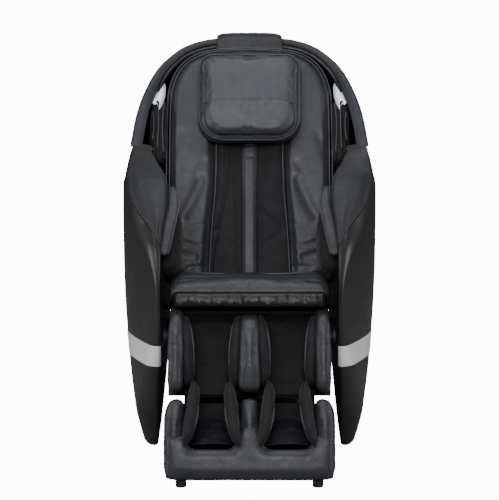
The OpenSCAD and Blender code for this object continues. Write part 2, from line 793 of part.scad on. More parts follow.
shoulder_pad(1);  // shoulder_pad_right
speaker(-1);  // speaker_left
speaker(1);  // speaker_right
pillow_flap();
pillow();
massage_carriage();
massage_motor();
knead_head(-1);  // knead_head_left
knead_head(1);  // knead_head_right
legrest_frame();
calf_shell();
calf_pads();
foot_shell();
foot_pads();
foot_tubes();
sole_plates();
foot_glides();
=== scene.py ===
"""Massage chair: the looks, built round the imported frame. Metres; the chair faces -Y and +Z is up."""
import json
import math
import random

import bmesh
import bpy
from mathutils import Matrix, Vector, noise


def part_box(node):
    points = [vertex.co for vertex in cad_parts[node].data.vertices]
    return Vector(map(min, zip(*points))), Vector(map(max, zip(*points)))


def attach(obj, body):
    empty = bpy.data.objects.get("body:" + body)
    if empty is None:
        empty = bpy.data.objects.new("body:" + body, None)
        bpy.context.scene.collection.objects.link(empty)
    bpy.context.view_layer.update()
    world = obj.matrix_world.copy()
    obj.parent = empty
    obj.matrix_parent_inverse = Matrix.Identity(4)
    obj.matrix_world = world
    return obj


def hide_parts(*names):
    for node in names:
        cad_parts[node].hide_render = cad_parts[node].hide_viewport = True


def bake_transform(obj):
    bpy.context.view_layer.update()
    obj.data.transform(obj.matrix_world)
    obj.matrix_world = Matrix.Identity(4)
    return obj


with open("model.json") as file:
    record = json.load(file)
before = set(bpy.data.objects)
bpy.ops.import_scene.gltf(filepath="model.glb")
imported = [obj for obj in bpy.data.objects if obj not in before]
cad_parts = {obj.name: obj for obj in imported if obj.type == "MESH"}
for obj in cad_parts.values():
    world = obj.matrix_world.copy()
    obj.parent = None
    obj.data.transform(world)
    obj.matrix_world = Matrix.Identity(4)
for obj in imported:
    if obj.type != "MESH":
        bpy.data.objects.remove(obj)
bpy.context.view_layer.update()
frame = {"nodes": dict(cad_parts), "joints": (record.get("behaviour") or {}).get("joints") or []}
random.seed(11)

# ---- Facts taken from the frame ----------------------------------------------------------
JOINT = {j["name"]: j for j in frame["joints"]}
RECLINE = Vector(JOINT["recline"]["pos_m"])
BACK_UP = Vector(JOINT["massage_travel"]["axis"])
BACK_IN = Vector((0, BACK_UP.z, -BACK_UP.y))
LEG = Vector(JOINT["legrest_lift"]["pos_m"])
LEG_UP = -Vector(JOINT["foot_slide"]["axis"])
LEG_IN = Vector((0, LEG_UP.z, -LEG_UP.y))
WIDE = 0.375             # half the width at the widest part of the arm boxes
HOOD_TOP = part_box("hood_shell")[1].z
HOOD_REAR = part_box("hood_shell")[1].y
BAND_LO, BAND_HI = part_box("trim_band_right")[0].z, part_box("trim_band_right")[1].z
SEAT_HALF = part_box("seat_cushion")[1].x
FLOOR = 0.0

MID_Z = 0.700            # height at which the hood starts to close in
JOINT_R = 0.400          # radius of the round joint between hood and arm boxes
INNER_X = 0.266          # inner wall of the arm boxes, beside the seat
GAP = 0.0012             # seam between neighbouring shell panels
SIDES = (-1, "left"), (1, "right")


def on_back(x, y, z):
    """A point in the backrest's own frame: y into the back, z up along it."""
    return Vector((x, 0, 0)) + RECLINE + BACK_IN * y + BACK_UP * z


def on_leg(x, y, z):
    """A point in the leg rest's own frame: y rearwards, z up along it."""
    return Vector((x, 0, 0)) + LEG + LEG_IN * y + LEG_UP * z


# ---- Small maths -------------------------------------------------------------------------
def clamp(v, lo=0.0, hi=1.0):
    return max(lo, min(hi, v))


def ease(t):
    t = clamp(t)
    return t * t * (3 - 2 * t)


def lerp(a, b, t):
    return a + (b - a) * t


def bell(x, width):
    return math.exp(-((x / width) ** 2))


def table(points, x):
    """A smooth function through (x, value) points, level beyond its ends."""
    if x <= points[0][0]:
        return points[0][1]
    if x >= points[-1][0]:
        return points[-1][1]
    for i in range(len(points) - 1):
        (x0, v0), (x1, v1) = points[i], points[i + 1]
        if x <= x1:
            slope = lambda k: (points[min(k + 1, len(points) - 1)][1] - points[max(k - 1, 0)][1]) / (
                points[min(k + 1, len(points) - 1)][0] - points[max(k - 1, 0)][0])
            h, t = x1 - x0, (x - x0) / (x1 - x0)
            return ((2 * t**3 - 3 * t**2 + 1) * v0 + (t**3 - 2 * t**2 + t) * h * slope(i)
                    + (-2 * t**3 + 3 * t**2) * v1 + (t**3 - t**2) * h * slope(i + 1))


def spline(points, n, closed=False):
    """A Catmull-Rom curve through the points."""
    pts = [Vector(p) for p in points]
    m = len(pts)
    out = []
    for i in range(m if closed else m - 1):
        at = lambda k: pts[k % m] if closed else pts[clamp(k, 0, m - 1)]
        p0, p1, p2, p3 = at(i - 1), at(i), at(i + 1), at(i + 2)
        for j in range(n):
            t = j / n
            out.append(0.5 * (2 * p1 + (p2 - p0) * t + (2 * p0 - 5 * p1 + 4 * p2 - p3) * t * t
                              + (3 * p1 - p0 - 3 * p2 + p3) * t * t * t))
    if not closed:
        out.append(pts[-1])
    return out


def flat_spline(points, n, closed=False):
    return spline([(a, b, 0) for a, b in points], n, closed)


def resample(path, step):
    """The path again, with points a step apart."""
    out, left = [path[0]], step
    for a, b in zip(path, path[1:]):
        d = (b - a).length
        while d >= left and d > 0:
            a = a + (b - a) * (left / d)
            out.append(a)
            d, left = (b - a).length, step
        left -= d
    return out


def side_ring(outline, n, step):
    """A closed side outline of (y, z) as points at x = 0."""
    return resample([Vector((0, p.x, p.y)) for p in flat_spline(outline, n, closed=True)], step)


def rough(p, size, depth=3):
    """Smooth noise from -1 to 1 with bumps of about that size in metres."""
    return noise.fractal(p / size, 1.0, 2.0, depth, noise_basis="PERLIN_ORIGINAL")


# ---- Mesh makers -------------------------------------------------------------------------
def new_object(name, data):
    ob = bpy.data.objects.new(name, data)
    bpy.context.scene.collection.objects.link(ob)
    return ob


def mesh_object(name, verts, faces):
    me = bpy.data.meshes.new(name)
    me.from_pydata([tuple(v) for v in verts], [], faces)
    ob = new_object(name, me)
    bm = bmesh.new()
    bm.from_mesh(me)
    bmesh.ops.remove_doubles(bm, verts=bm.verts, dist=1e-5)
    bmesh.ops.dissolve_degenerate(bm, edges=bm.edges, dist=1e-6)
    bmesh.ops.recalc_face_normals(bm, faces=bm.faces)
    bm.to_mesh(me)
    bm.free()
    me.shade_smooth()
    return ob


def apply_modifiers(ob):
    dg = bpy.context.evaluated_depsgraph_get()
    me = bpy.data.meshes.new_from_object(ob.evaluated_get(dg))
    ob.modifiers.clear()
    ob.data = me
    me.shade_smooth()
    return ob


def modifier(ob, kind, **settings):
    m = ob.modifiers.new(kind.lower(), kind)
    for key, value in settings.items():
        setattr(m, key, value)
    return ob


def bevel_edges(ob, width, segments, degrees):
    modifier(ob, "BEVEL", width=width, segments=segments, limit_method="ANGLE", angle_limit=math.radians(degrees))


def ring_faces(rows, m):
    """Quads between rows of m points each, where every row closes on itself."""
    return [(r * m + i, r * m + (i + 1) % m, (r + 1) * m + (i + 1) % m, (r + 1) * m + i)
            for r in range(rows - 1) for i in range(m)]


def ring_cap(row, m, flip=False):
    return tuple(row * m + i for i in range(m))[::-1 if flip else 1]


def loft(name, sections):
    """A skin over a row of closed sections that have the same number of points, with both ends closed."""
    m, rows = len(sections[0]), len(sections)
    return mesh_object(name, [v for row in sections for v in row],
                       ring_faces(rows, m) + [ring_cap(0, m, True), ring_cap(rows - 1, m)])


def refine(ob):
    """One more level of subdivision."""
    modifier(ob, "SUBSURF", levels=1, render_levels=1)
    return apply_modifiers(ob)


def sheet_of(name, fn, nu, nv, thick=0.0, offset=-1.0, bevel=0.0, levels=0):
    """A surface of fn(u, v), made solid by a wall, with its rim rounded."""
    verts = [fn(i / nu, j / nv) for i in range(nu + 1) for j in range(nv + 1)]
    faces = [(i * (nv + 1) + j, (i + 1) * (nv + 1) + j, (i + 1) * (nv + 1) + j + 1, i * (nv + 1) + j + 1)
             for i in range(nu) for j in range(nv)]
    ob = mesh_object(name, verts, faces)
    if thick:
        modifier(ob, "SOLIDIFY", thickness=thick, offset=offset, use_even_offset=True, thickness_clamp=1.0)
    if bevel:
        bevel_edges(ob, bevel, 3, 50)
    if levels:
        modifier(ob, "SUBSURF", levels=levels, render_levels=levels)
    return apply_modifiers(ob)


def tube(name, path, r, sides=8, closed=False):
    """A tube along a path, with a radius or a function that gives it."""
    verts, faces, m = [], [], len(path)
    side = None
    for i, p in enumerate(path):
        a = path[(i - 1) % m] if closed or i else path[0]
        b = path[(i + 1) % m] if closed or i < m - 1 else path[-1]
        t = (b - a).normalized()
        ref = side if side is not None else Vector((0.31, 0.87, 0.38))
        n = (ref - t * ref.dot(t)).normalized()
        side = n
        w = t.cross(n)
        rr = r(i / (m - 1)) if callable(r) else r
        for k in range(sides):
            ang = 2 * math.pi * k / sides
            verts.append(p + n * (rr * math.cos(ang)) + w * (rr * math.sin(ang)))
    for i in range(m if closed else m - 1):
        for k in range(sides):
            a, b = i * sides, ((i + 1) % m) * sides
            faces.append((a + k, a + (k + 1) % sides, b + (k + 1) % sides, b + k))
    if not closed:
        faces.append(tuple(range(sides)))
        faces.append(tuple(range((m - 1) * sides, m * sides))[::-1])
    return mesh_object(name, verts, faces)


def stitches(name, paths, pitch=0.0062, length=0.0042, r=0.00055):
    """Rows of short raised threads along the paths."""
    verts, faces = [], []
    for path in paths:
        pts = resample(path, pitch)
        for a, b in zip(pts, pts[1:]):
            t = (b - a).normalized()
            n = t.orthogonal().normalized()
            w = t.cross(n)
            base = len(verts)
            for s, k in ((0, 0.35), (0.25, 1), (0.75, 1), (1, 0.35)):
                c = a + t * (length * s)
                for q in range(5):
                    ang = 2 * math.pi * q / 5
                    verts.append(c + (n * math.cos(ang) + w * math.sin(ang)) * (r * k))
            for ring in range(3):
                for q in range(5):
                    i0 = base + ring * 5
                    faces.append((i0 + q, i0 + (q + 1) % 5, i0 + 5 + (q + 1) % 5, i0 + 5 + q))
            faces.append(tuple(base + q for q in range(5))[::-1])
            faces.append(tuple(base + 15 + q for q in range(5)))
    return mesh_object(name, verts, faces)


def puff(ob, voxel, pressure, cap, frames):
    """Blows a closed form up as cloth under pressure, and keeps every point within cap of where it was."""
    modifier(ob, "REMESH", mode="VOXEL", voxel_size=voxel, use_smooth_shade=True)
    apply_modifiers(ob)
    start = [v.co.copy() for v in ob.data.vertices]
    cloth = ob.modifiers.new("cloth", "CLOTH")
    cloth.settings.quality = 4
    cloth.settings.mass = 0.3
    cloth.settings.tension_stiffness = 12
    cloth.settings.compression_stiffness = 12
    cloth.settings.bending_stiffness = 0.6
    cloth.settings.use_pressure = True
    cloth.settings.uniform_pressure_force = pressure
    cloth.settings.effector_weights.gravity = 0
    cloth.collision_settings.use_collision = False
    cloth.point_cache.frame_end = frames
    for f in range(1, frames + 1):
        bpy.context.scene.frame_set(f)
    dg = bpy.context.evaluated_depsgraph_get()
    done = [v.co.copy() for v in ob.evaluated_get(dg).data.vertices]
    ob.modifiers.clear()
    for v, a, b in zip(ob.data.vertices, start, done):
        d = b - a
        if d.length > cap:
            d *= cap / d.length
        v.co = a + d
    bpy.context.scene.frame_set(1)
    modifier(ob, "SMOOTH", factor=0.5, iterations=2)
    return apply_modifiers(ob)


def shape(ob, fn):
    """Moves each vertex to fn(co, normal)."""
    new = [fn(v.co.copy(), v.normal.copy()) for v in ob.data.vertices]
    for v, co in zip(ob.data.vertices, new):
        v.co = co
    ob.data.update()
    return ob


def mirror_copy(ob, name):
    """The same piece on the other side of the mid-plane."""
    me = ob.data.copy()
    me.transform(Matrix.Diagonal((-1, 1, 1, 1)))
    me.flip_normals()
    return new_object(name, me)


def segment_distance(p, a, b):
    ab = b - a
    t = clamp((p - a).dot(ab) / max(ab.length_squared, 1e-12))
    return (p - a - ab * t).length, t


def crease(p, path, width, depth):
    """How far a surface point sinks into a crease that runs along a path of points; its ends fade."""
    best, along = 1e9, 0.0
    m = len(path) - 1
    for i in range(m):
        d, t = segment_distance(p, path[i], path[i + 1])
        if d < best:
            best, along = d, (i + t) / m
    fade = ease(min(along, 1 - along) * 5)
    return depth * fade * bell(best, width)


# ---- Materials ---------------------------------------------------------------------------
def material(name, base, rough_to, metal=0.0, sheen=0.0, coat=0.0):
    """A new material with a Principled shader; returns the material, its nodes, links and shader."""
    m = bpy.data.materials.new(name)
    m.use_nodes = True
    nodes, links = m.node_tree.nodes, m.node_tree.links
    shader = nodes["Principled BSDF"]
    shader.inputs["Base Color"].default_value = (*base, 1)
    shader.inputs["Roughness"].default_value = rough_to
    shader.inputs["Metallic"].default_value = metal
    shader.inputs["Sheen Weight"].default_value = sheen
    shader.inputs["Sheen Roughness"].default_value = 0.45
    shader.inputs["Coat Weight"].default_value = coat
    shader.inputs["Coat Roughness"].default_value = 0.18
    shader.inputs["Specular IOR Level"].default_value = 0.32
    return m, nodes, links, shader


def node_of(nodes, kind, **settings):
    n = nodes.new(kind)
    for key, value in settings.items():
        if key in n.inputs:
            n.inputs[key].default_value = value
        else:
            setattr(n, key, value)
    return n


def noise_of(nodes, links, scale, detail=4.0, roughness=0.55, stretch=(1, 1, 1)):
    """Object-space noise."""
    co = nodes.new("ShaderNodeTexCoord")
    mp = nodes.new("ShaderNodeMapping")
    mp.inputs["Scale"].default_value = stretch
    tex = node_of(nodes, "ShaderNodeTexNoise", Scale=scale, Detail=detail, Roughness=roughness)
    links.new(co.outputs["Object"], mp.inputs["Vector"])
    links.new(mp.outputs["Vector"], tex.inputs["Vector"])
    return tex.outputs["Fac"]


def spread(nodes, links, value, lo, hi, start=0.3, stop=0.7):
    """Maps a 0 to 1 value between two numbers."""
    mr = nodes.new("ShaderNodeMapRange")
    mr.inputs["From Min"].default_value = start
    mr.inputs["From Max"].default_value = stop
    mr.inputs["To Min"].default_value = lo
    mr.inputs["To Max"].default_value = hi
    links.new(value, mr.inputs["Value"])
    return mr.outputs["Result"]


def colours(nodes, links, value, low, high):
    ramp = nodes.new("ShaderNodeValToRGB")
    ramp.color_ramp.elements[0].position = 0.3
    ramp.color_ramp.elements[1].position = 0.7
    ramp.color_ramp.elements[0].color = (*low, 1)
    ramp.color_ramp.elements[1].color = (*high, 1)
    links.new(value, ramp.inputs["Fac"])
    return ramp.outputs["Color"]


def bump(nodes, links, shader, heights):
    """Chains (height, strength, distance) bumps into the shader."""
    normal = None
    for height, strength, distance in heights:
        b = node_of(nodes, "ShaderNodeBump", Strength=strength, Distance=distance)
        links.new(height, b.inputs["Height"])
        if normal:
            links.new(normal, b.inputs["Normal"])
        normal = b.outputs["Normal"]
    links.new(normal, shader.inputs["Normal"])


def leather(name, low, high, rough_lo, rough_hi, deep, grain=420.0, sheen=0.0):
    """Grained leather: pebbles, fine pores, soft wear in colour and gloss."""
    m, nodes, links, shader = material(name, high, 0.45, sheen=sheen)
    broad = noise_of(nodes, links, 7.0, 5.0)
    links.new(colours(nodes, links, broad, low, high), shader.inputs["Base Color"])
    mid = noise_of(nodes, links, 46.0, 4.0)
    links.new(spread(nodes, links, mid, rough_lo, rough_hi), shader.inputs["Roughness"])
    co = nodes.new("ShaderNodeTexCoord")
    cells = node_of(nodes, "ShaderNodeTexVoronoi", Scale=grain)
    links.new(co.outputs["Object"], cells.inputs["Vector"])
    pores = noise_of(nodes, links, grain * 2.1, 3.0)
    bump(nodes, links, shader, [(cells.outputs["Distance"], deep, 0.0006), (pores, deep * 0.6, 0.0003),
                                (mid, 0.25, 0.0012)])
    return m


def woven(name, low, high, pitch=620.0, rough_to=0.75, sheen=0.35):
    """Stretch knit: two crossed sets of ribs at yarn pitch, with a faint heather."""
    m, nodes, links, shader = material(name, high, rough_to, sheen=sheen)
    co = nodes.new("ShaderNodeTexCoord")
    ribs = []
    for axis, scale in (("X", pitch), ("Z", pitch * 0.8)):
        w = node_of(nodes, "ShaderNodeTexWave", Scale=scale / 6.2832, Distortion=1.2, Detail=1.0)
        w.bands_direction = axis
        links.new(co.outputs["Object"], w.inputs["Vector"])
        ribs.append(w.outputs["Fac"])
    both = nodes.new("ShaderNodeMath")
    both.operation = "MULTIPLY"
    links.new(ribs[0], both.inputs[0])
    links.new(ribs[1], both.inputs[1])
    heather = noise_of(nodes, links, 34.0, 6.0, 0.7)
    links.new(colours(nodes, links, heather, low, high), shader.inputs["Base Color"])
    bump(nodes, links, shader, [(both.outputs[0], 0.5, 0.0005), (heather, 0.3, 0.0016)])
    return m


def moulded(name, low, high, rough_lo, rough_hi, metal=0.0, coat=0.0, fine=900.0, deep=0.08):
    """Moulded or painted plastic, or cast metal: fine texture, slight orange peel, uneven gloss."""
    m, nodes, links, shader = material(name, high, rough_lo, metal=metal, coat=coat)
    wide = noise_of(nodes, links, 3.0, 3.0)
    links.new(colours(nodes, links, wide, low, high), shader.inputs["Base Color"])
    smear = noise_of(nodes, links, 16.0, 6.0, 0.65)
    links.new(spread(nodes, links, smear, rough_lo, rough_hi), shader.inputs["Roughness"])
    tiny = noise_of(nodes, links, fine, 2.0)
    peel = noise_of(nodes, links, 130.0, 2.0)
    bump(nodes, links, shader, [(tiny, deep, 0.0003), (peel, deep * 0.8, 0.0006)])
    return m


def brushed(name, low, high, rough_lo, rough_hi):
    """Metal with a drawn grain."""
    m, nodes, links, shader = material(name, high, rough_lo, metal=1.0)
    grain = noise_of(nodes, links, 60.0, 8.0, 0.7, (1, 1, 40))
    links.new(colours(nodes, links, grain, low, high), shader.inputs["Base Color"])
    links.new(spread(nodes, links, grain, rough_lo, rough_hi), shader.inputs["Roughness"])
    bump(nodes, links, shader, [(grain, 0.1, 0.0003)])
    return m


MAT = {
    "hood": moulded("hood_soft_paint", (0.012, 0.0135, 0.017), (0.021, 0.023, 0.028), 0.42, 0.58, deep=0.12),
    "rim": leather("rim_leather", (0.019, 0.0212, 0.0255), (0.033, 0.0365, 0.043), 0.5, 0.64, grain=520, deep=0.25,
                   sheen=0.08),
    # roll: very dark leather for the hood's rolled lip; the pillow's seam groove also takes it, there as painted
    # shade
    "roll": leather("roll_leather", (0.004, 0.0045, 0.0065), (0.009, 0.010, 0.0145), 0.28, 0.4, grain=480,
                    deep=0.3),
    "arm": leather("arm_leather", (0.009, 0.0102, 0.0125), (0.017, 0.019, 0.0225), 0.5, 0.64, grain=460, deep=0.3,
                   sheen=0.05),
    "side": moulded("side_satin", (0.012, 0.0115, 0.012), (0.020, 0.0192, 0.0198), 0.34, 0.46, coat=0.10,
                    deep=0.06),
    "lower": moulded("lower_satin", (0.011, 0.0106, 0.0108), (0.018, 0.0174, 0.0178), 0.36, 0.48, coat=0.08),
    # inner: near black, several times darker than the side panels: painted shade in the recess between the arm box
    # and the seat
    "inner": moulded("inner_wall_painted_shade", (0.0022, 0.0022, 0.0025), (0.0042, 0.0042, 0.0047), 0.75, 0.9, deep=0.14),
    "silver": moulded("silver_paint", (0.72, 0.73, 0.75), (0.84, 0.85, 0.87), 0.26, 0.38, metal=0.3, coat=0.3,
                      deep=0.03),
    "leather": leather("back_leather", (0.0175, 0.0190, 0.0230), (0.0280, 0.0303, 0.0362), 0.36, 0.52, deep=0.34),
    "soft": leather("soft_leather", (0.0150, 0.0164, 0.0203), (0.0250, 0.0272, 0.0328), 0.38, 0.52, grain=380,
                    deep=0.4),
    "pillow": leather("pillow_leather", (0.034, 0.0366, 0.0435), (0.048, 0.0515, 0.0605), 0.40, 0.54, grain=420,
                      deep=0.34),
    # under: apron leather several times darker than the seat leather; the extra darkness is painted shade under the
    # seat's front roll
    "under": leather("apron_leather_painted_shade", (0.0030, 0.0032, 0.0040), (0.0062, 0.0066, 0.0080), 0.34, 0.48, grain=380,
                     deep=0.4),
    # well: black cloth made darker than any other fabric; the extra darkness is painted shade at the back of the
    # calf and foot wells
    "well": woven("well_cloth_painted_shade", (0.0008, 0.0009, 0.0013), (0.0018, 0.0020, 0.0028), sheen=0.03),
    "pale": leather("flap_leather", (0.0100, 0.0112, 0.0140), (0.0190, 0.0212, 0.0258), 0.42, 0.56, grain=400,
                    deep=0.35),
    # fabric, fabric_mid, fabric_dark: one stretch fabric in three shades; over the massage opening the lighter copy
    # is painted light on the drape and the darker copy painted shade on the ground behind the folds
    "fabric": woven("stretch_fabric", (0.0026, 0.0029, 0.0042), (0.0056, 0.0061, 0.0086), sheen=0.08),
    "fabric_mid": woven("stretch_fabric_painted_light", (0.0036, 0.0040, 0.0058), (0.0074, 0.0081, 0.0114), sheen=0.10),
    "fabric_dark": woven("stretch_fabric_dark", (0.0024, 0.0026, 0.0036), (0.0048, 0.0052, 0.0072), sheen=0.06),
    "sole": leather("sole_cover", (0.0040, 0.0046, 0.0070), (0.0085, 0.0097, 0.0145), 0.32, 0.46, grain=360,
                    deep=0.35),
    "piping": leather("piping_leather", (0.026, 0.028, 0.032), (0.046, 0.049, 0.055), 0.3, 0.42, grain=700,
                      deep=0.2),
    "thread": woven("thread", (0.026, 0.028, 0.032), (0.048, 0.051, 0.056), pitch=2400, rough_to=0.6, sheen=0.1),
    "rubber": moulded("rubber", (0.010, 0.010, 0.010), (0.019, 0.019, 0.019), 0.7, 0.85, deep=0.25),
    "steel": moulded("powder_coat", (0.008, 0.0085, 0.0095), (0.016, 0.0165, 0.018), 0.5, 0.65, deep=0.3,
                     fine=1400),
    "case": moulded("black_case", (0.010, 0.010, 0.011), (0.018, 0.018, 0.020), 0.4, 0.55, deep=0.25),
    "pump": moulded("cast_aluminium", (0.30, 0.31, 0.32), (0.46, 0.47, 0.48), 0.38, 0.55, metal=0.9, deep=0.35),
    "rod": brushed("bright_rod", (0.48, 0.49, 0.5), (0.64, 0.65, 0.66), 0.24, 0.42),
    "roller": moulded("roller_rubber", (0.040, 0.034, 0.030), (0.070, 0.060, 0.052), 0.5, 0.65, deep=0.15),
    "mesh": woven("speaker_cloth", (0.010, 0.010, 0.011), (0.022, 0.022, 0.024), pitch=1500, rough_to=0.8),
}


def finish(ob, mat, body, slot, *nodes):
    """Gives a piece its material and the body that it rides on, and hides the CAD nodes that it stands for; slot is
    not used.
    """
    ob.data.materials.clear()
    ob.data.materials.append(MAT[mat])
    if body:
        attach(ob, body)
    if nodes:
        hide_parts(*nodes)
    return ob


def first(condition, node):
    """One of a row of pieces stands for the CAD node; the others stand for nothing."""
    return [node] if condition else []


def cushion(ob, mat, body, slot, fill, *nodes):
    """finish for a stuffed piece."""
    finish(ob, mat, body, slot, *nodes)


def piping(name, path, r, body, slot="leather", closed=False):
    finish(tube(name, path, r, closed=closed), "piping", body, slot)


def sewing(name, rows, body, slot="leather", **sizes):
    finish(stitches(name, rows, **sizes), "thread", body, slot)


# ---- Outlines of the shell ---------------------------------------------------------------
FRONT = [(0.298, -0.010), (0.309, 0.045), (0.3165, 0.080), (0.3235, 0.121), (0.332, 0.171), (0.341, 0.224),
         (0.3485, 0.278), (0.3545, 0.332), (0.3605, 0.386), (0.366, 0.438), (0.3702, 0.495), (0.3730, 0.551),
         (0.3748, 0.610), (0.375, 0.660), (0.3742, 0.700), (0.3722, 0.735), (0.3698, 0.779), (0.365, 0.828),
         (0.3605, 0.865), (0.3575, 0.892), (0.354, 0.919), (0.3502, 0.947), (0.3446, 0.976), (0.3366, 1.005),
         (0.325, 1.035), (0.3112, 1.065), (0.293, 1.096), (0.267, 1.127), (0.227, 1.159), (0.2035, 1.1715),
         (0.1735, 1.183), (0.128, 1.193), (0.064, 1.1985), (0.0, 1.200)]
FRONT_LINE = spline([(x, 0, z * HOOD_TOP / 1.200) for x, z in FRONT], 6)
FRONT_BY_Z = [(p.z, p.x) for p in FRONT_LINE]


def front_x(z):
    """Half the chair's width at a height, seen from the front."""
    return table(FRONT_BY_Z, z) - 0.0015


def plan_x(y):
    """Half the arm boxes' width at a depth, seen from above."""
    if y <= -0.05:
        return WIDE - 0.117 * ((y + 0.05) / 0.390) ** 2
    return WIDE * (1 - (min(y + 0.05, 0.66) / 0.668) ** 2.6) ** (1 / 2.6)


ARM_TOP = [(-0.448, 0.47), (-0.440, 0.55), (-0.405, 0.625), (-0.350, 0.680), (-0.280, 0.745), (-0.200, 0.803),
           (-0.100, 0.838), (0.0, 0.856), (0.065, 0.868)]
ARMREST_EDGE = [(-0.440, 0.2440), (-0.405, 0.2430), (-0.350, 0.2380), (-0.280, 0.2310), (-0.200, 0.2370),
                (-0.100, 0.2660), (-0.020, 0.2840), (0.060, 0.3010)]


def inner_x(y, z):
    """The arm boxes' inner wall: it closes in at the nose, and the armrest swells over it into the seat."""
    wall = lerp(0.2440, INNER_X, ease((y + 0.46) / 0.26))
    top = table(ARM_TOP, y)
    return lerp(wall, table(ARMREST_EDGE, y), ease((z - top + 0.105) / 0.080) * ease((z - 0.50) / 0.10))


def seam_z(co):
    """The seam between the leather arm cover and the side panel, which is a curve in the front view."""
    return table([(0.200, 0.606), (0.245, 0.632), (0.262, 0.655), (0.280, 0.678), (0.300, 0.700), (0.320, 0.722),
                  (0.335, 0.746), (0.3435, 0.770), (0.3475, 0.790), (0.351, 0.820), (0.354, 0.865), (0.356, 0.900)],
                 abs(co.x))


def rim_y(z):
    """How far back the hood's front edge lies at a height."""
    return table([(0.45, -0.10), (0.80, 0.030), (0.874, 0.066), (0.913, 0.120), (0.968, 0.190), (1.038, 0.265),
                  (1.108, 0.325), (1.165, 0.362), (1.203, 0.385)], z)


def rear_y(z):
    """How far back the hood reaches at a height."""
    return table([(0.45, 0.480), (0.54, 0.542), (0.62, 0.572), (0.735, 0.596), (0.85, HOOD_REAR), (0.96, 0.601),
                  (1.062, 0.582), (1.14, 0.545), (1.187, 0.490), (1.202, 0.425)], z)


# ---- The hood ----------------------------------------------------------------------------
def arch():
    """The hood's front outline as (x, z), from the lower left over the top to the lower right."""
    right = resample([p for p in FRONT_LINE if p.z > 0.45], 0.012)
    if right[-1].x > 0.004:
        right.append(Vector((0, 0, HOOD_TOP)))
    left = [Vector((-p.x, 0, p.z)) for p in right]
    return left + right[-2::-1]


ARCH = arch()
HOOD_MID_Z = 0.80
HOOD_M = 2.7


def hood_point(p, turn):
    """A point of the hood: p on its front outline, turn from 0 at the rim to 1 at the middle of its back."""
    s = math.sin(turn * math.pi / 2) ** (2 / HOOD_M)
    k = max(0.0, math.cos(turn * math.pi / 2)) ** (2 / HOOD_M)
    z = p.z if p.z < HOOD_MID_Z else HOOD_MID_Z + (p.z - HOOD_MID_Z) * k
    return Vector((p.x * k, lerp(rim_y(p.z), rear_y(z), s), z))


def cylinder_cut(ob, radius):
    """Cuts away what lies within a radius of the recline axis."""
    bm = bmesh.new()
    bmesh.ops.create_cone(bm, cap_ends=True, segments=180, radius1=radius, radius2=radius, depth=1.2)
    bmesh.ops.transform(bm, matrix=Matrix.Translation(RECLINE) @ Matrix.Rotation(math.pi / 2, 4, "Y"),
                        verts=bm.verts)
    me = bpy.data.meshes.new("cutter")
    bm.to_mesh(me)
    bm.free()
    cutter = new_object("cutter", me)
    modifier(ob, "BOOLEAN", object=cutter, operation="DIFFERENCE", solver="EXACT")
    apply_modifiers(ob)
    bpy.data.objects.remove(cutter)
    return ob


def hood():
    rows = len(ARCH) - 1
    ob = sheet_of("hood", lambda u, v: hood_point(ARCH[round(u * rows)], 0.03 + 0.97 * v), rows, 34, thick=0.005)
    ob = cylinder_cut(ob, JOINT_R + 0.003)
    return finish(ob, "hood", "backrest", "hood_skin", "hood_shell")


def rim_frames(path):
    """(point, outward, rearward) along a rim path."""
    out = []
    for i, p in enumerate(path):
        t = (path[min(i + 1, len(path) - 1)] - path[max(i - 1, 0)]).normalized()
        outward = Vector((p.x, 0, (p.z - MID_Z) if p.z > MID_Z else 0))
        outward = (outward - t * outward.dot(t)).normalized()
        back = t.cross(outward)
        if back.y < 0:
            back = -back
        out.append((p, outward, back))
    return out


def rounded(u0, u1, w0, w1, power, n=28):
    """A superellipse between two pairs of limits."""
    out = []
    for k in range(n):
        a = 2 * math.pi * k / n
        c, s = math.cos(a), math.sin(a)
        out.append(((u0 + u1) / 2 + (u1 - u0) / 2 * math.copysign(abs(c) ** (2 / power), c),
                    (w0 + w1) / 2 + (w1 - w0) / 2 * math.copysign(abs(s) ** (2 / power), s)))
    return out


RIM_W = [(0.86, 0.0345), (1.02, 0.0325), (1.12, 0.0275), (1.20, 0.0220)]   # width of the band at a height
RIM_D = 0.030            # its depth


def rim_path(low):
    return [Vector((p.x, rim_y(p.z), p.z)) for p in ARCH if p.z >= low]


def hood_rim():
    width = lambda p: table(RIM_W, p.z)
    band = loft("hood_rim_band", [[p + o * u + b * w for u, w in rounded(-width(p), 0.0008, -0.004, RIM_D, 3.2)]
                                  for p, o, b in rim_frames(rim_path(0.80))])
    band = cylinder_cut(band, JOINT_R + 0.0012)
    finish(band, "rim", "backrest", "hood_skin", "hood_rim")
    roll_path = [p - o * (width(p) + 0.0055) + b * 0.006 for p, o, b in rim_frames(rim_path(1.045))]
    roll = tube("hood_rim_roll", roll_path, lambda t: 0.0088 * min(1, 9 * min(t, 1 - t) + 0.25), 12)
    cushion(roll, "roll", "backrest", "leather", 0.9)
    path = [p - o * 0.006 - b * 0.0045 for p, o, b in rim_frames(rim_path(0.885))]
    sewing("hood_rim_stitches", [path], "backrest", "hood_skin", pitch=0.0075, length=0.005, r=0.0005)


# ---- The arm boxes -----------------------------------------------------------------------
WALL_RINGS = 12          # rings of points in an arm box's inner wall
WALL_ROUND = 0.014       # radius of the edge between its outer skin and its inner wall


def arm_outline():
    """The arm box seen from the side, as (y, z), closed."""
    arc = [(RECLINE.y + JOINT_R * math.cos(math.radians(a)), RECLINE.z + JOINT_R * math.sin(math.radians(a)))
           for a in range(95, -23, -3)]
    under = flat_spline([(0.471, 0.320), (0.430, 0.285), (0.250, 0.150), (0.0, 0.062), (-0.170, 0.026),
                         (-0.250, 0.022), (-0.285, 0.050), (-0.345, 0.160), (-0.395, 0.270), (-0.430, 0.370)]
                        + ARM_TOP[:-1] + [arc[0]], 8)
    pts = [Vector((a, b, 0)) for a, b in arc] + under
    ring = resample(pts, 0.011)
    if (ring[-1] - ring[0]).length < 0.006:
        ring.pop()
    return [(p.x, p.y) for p in ring]


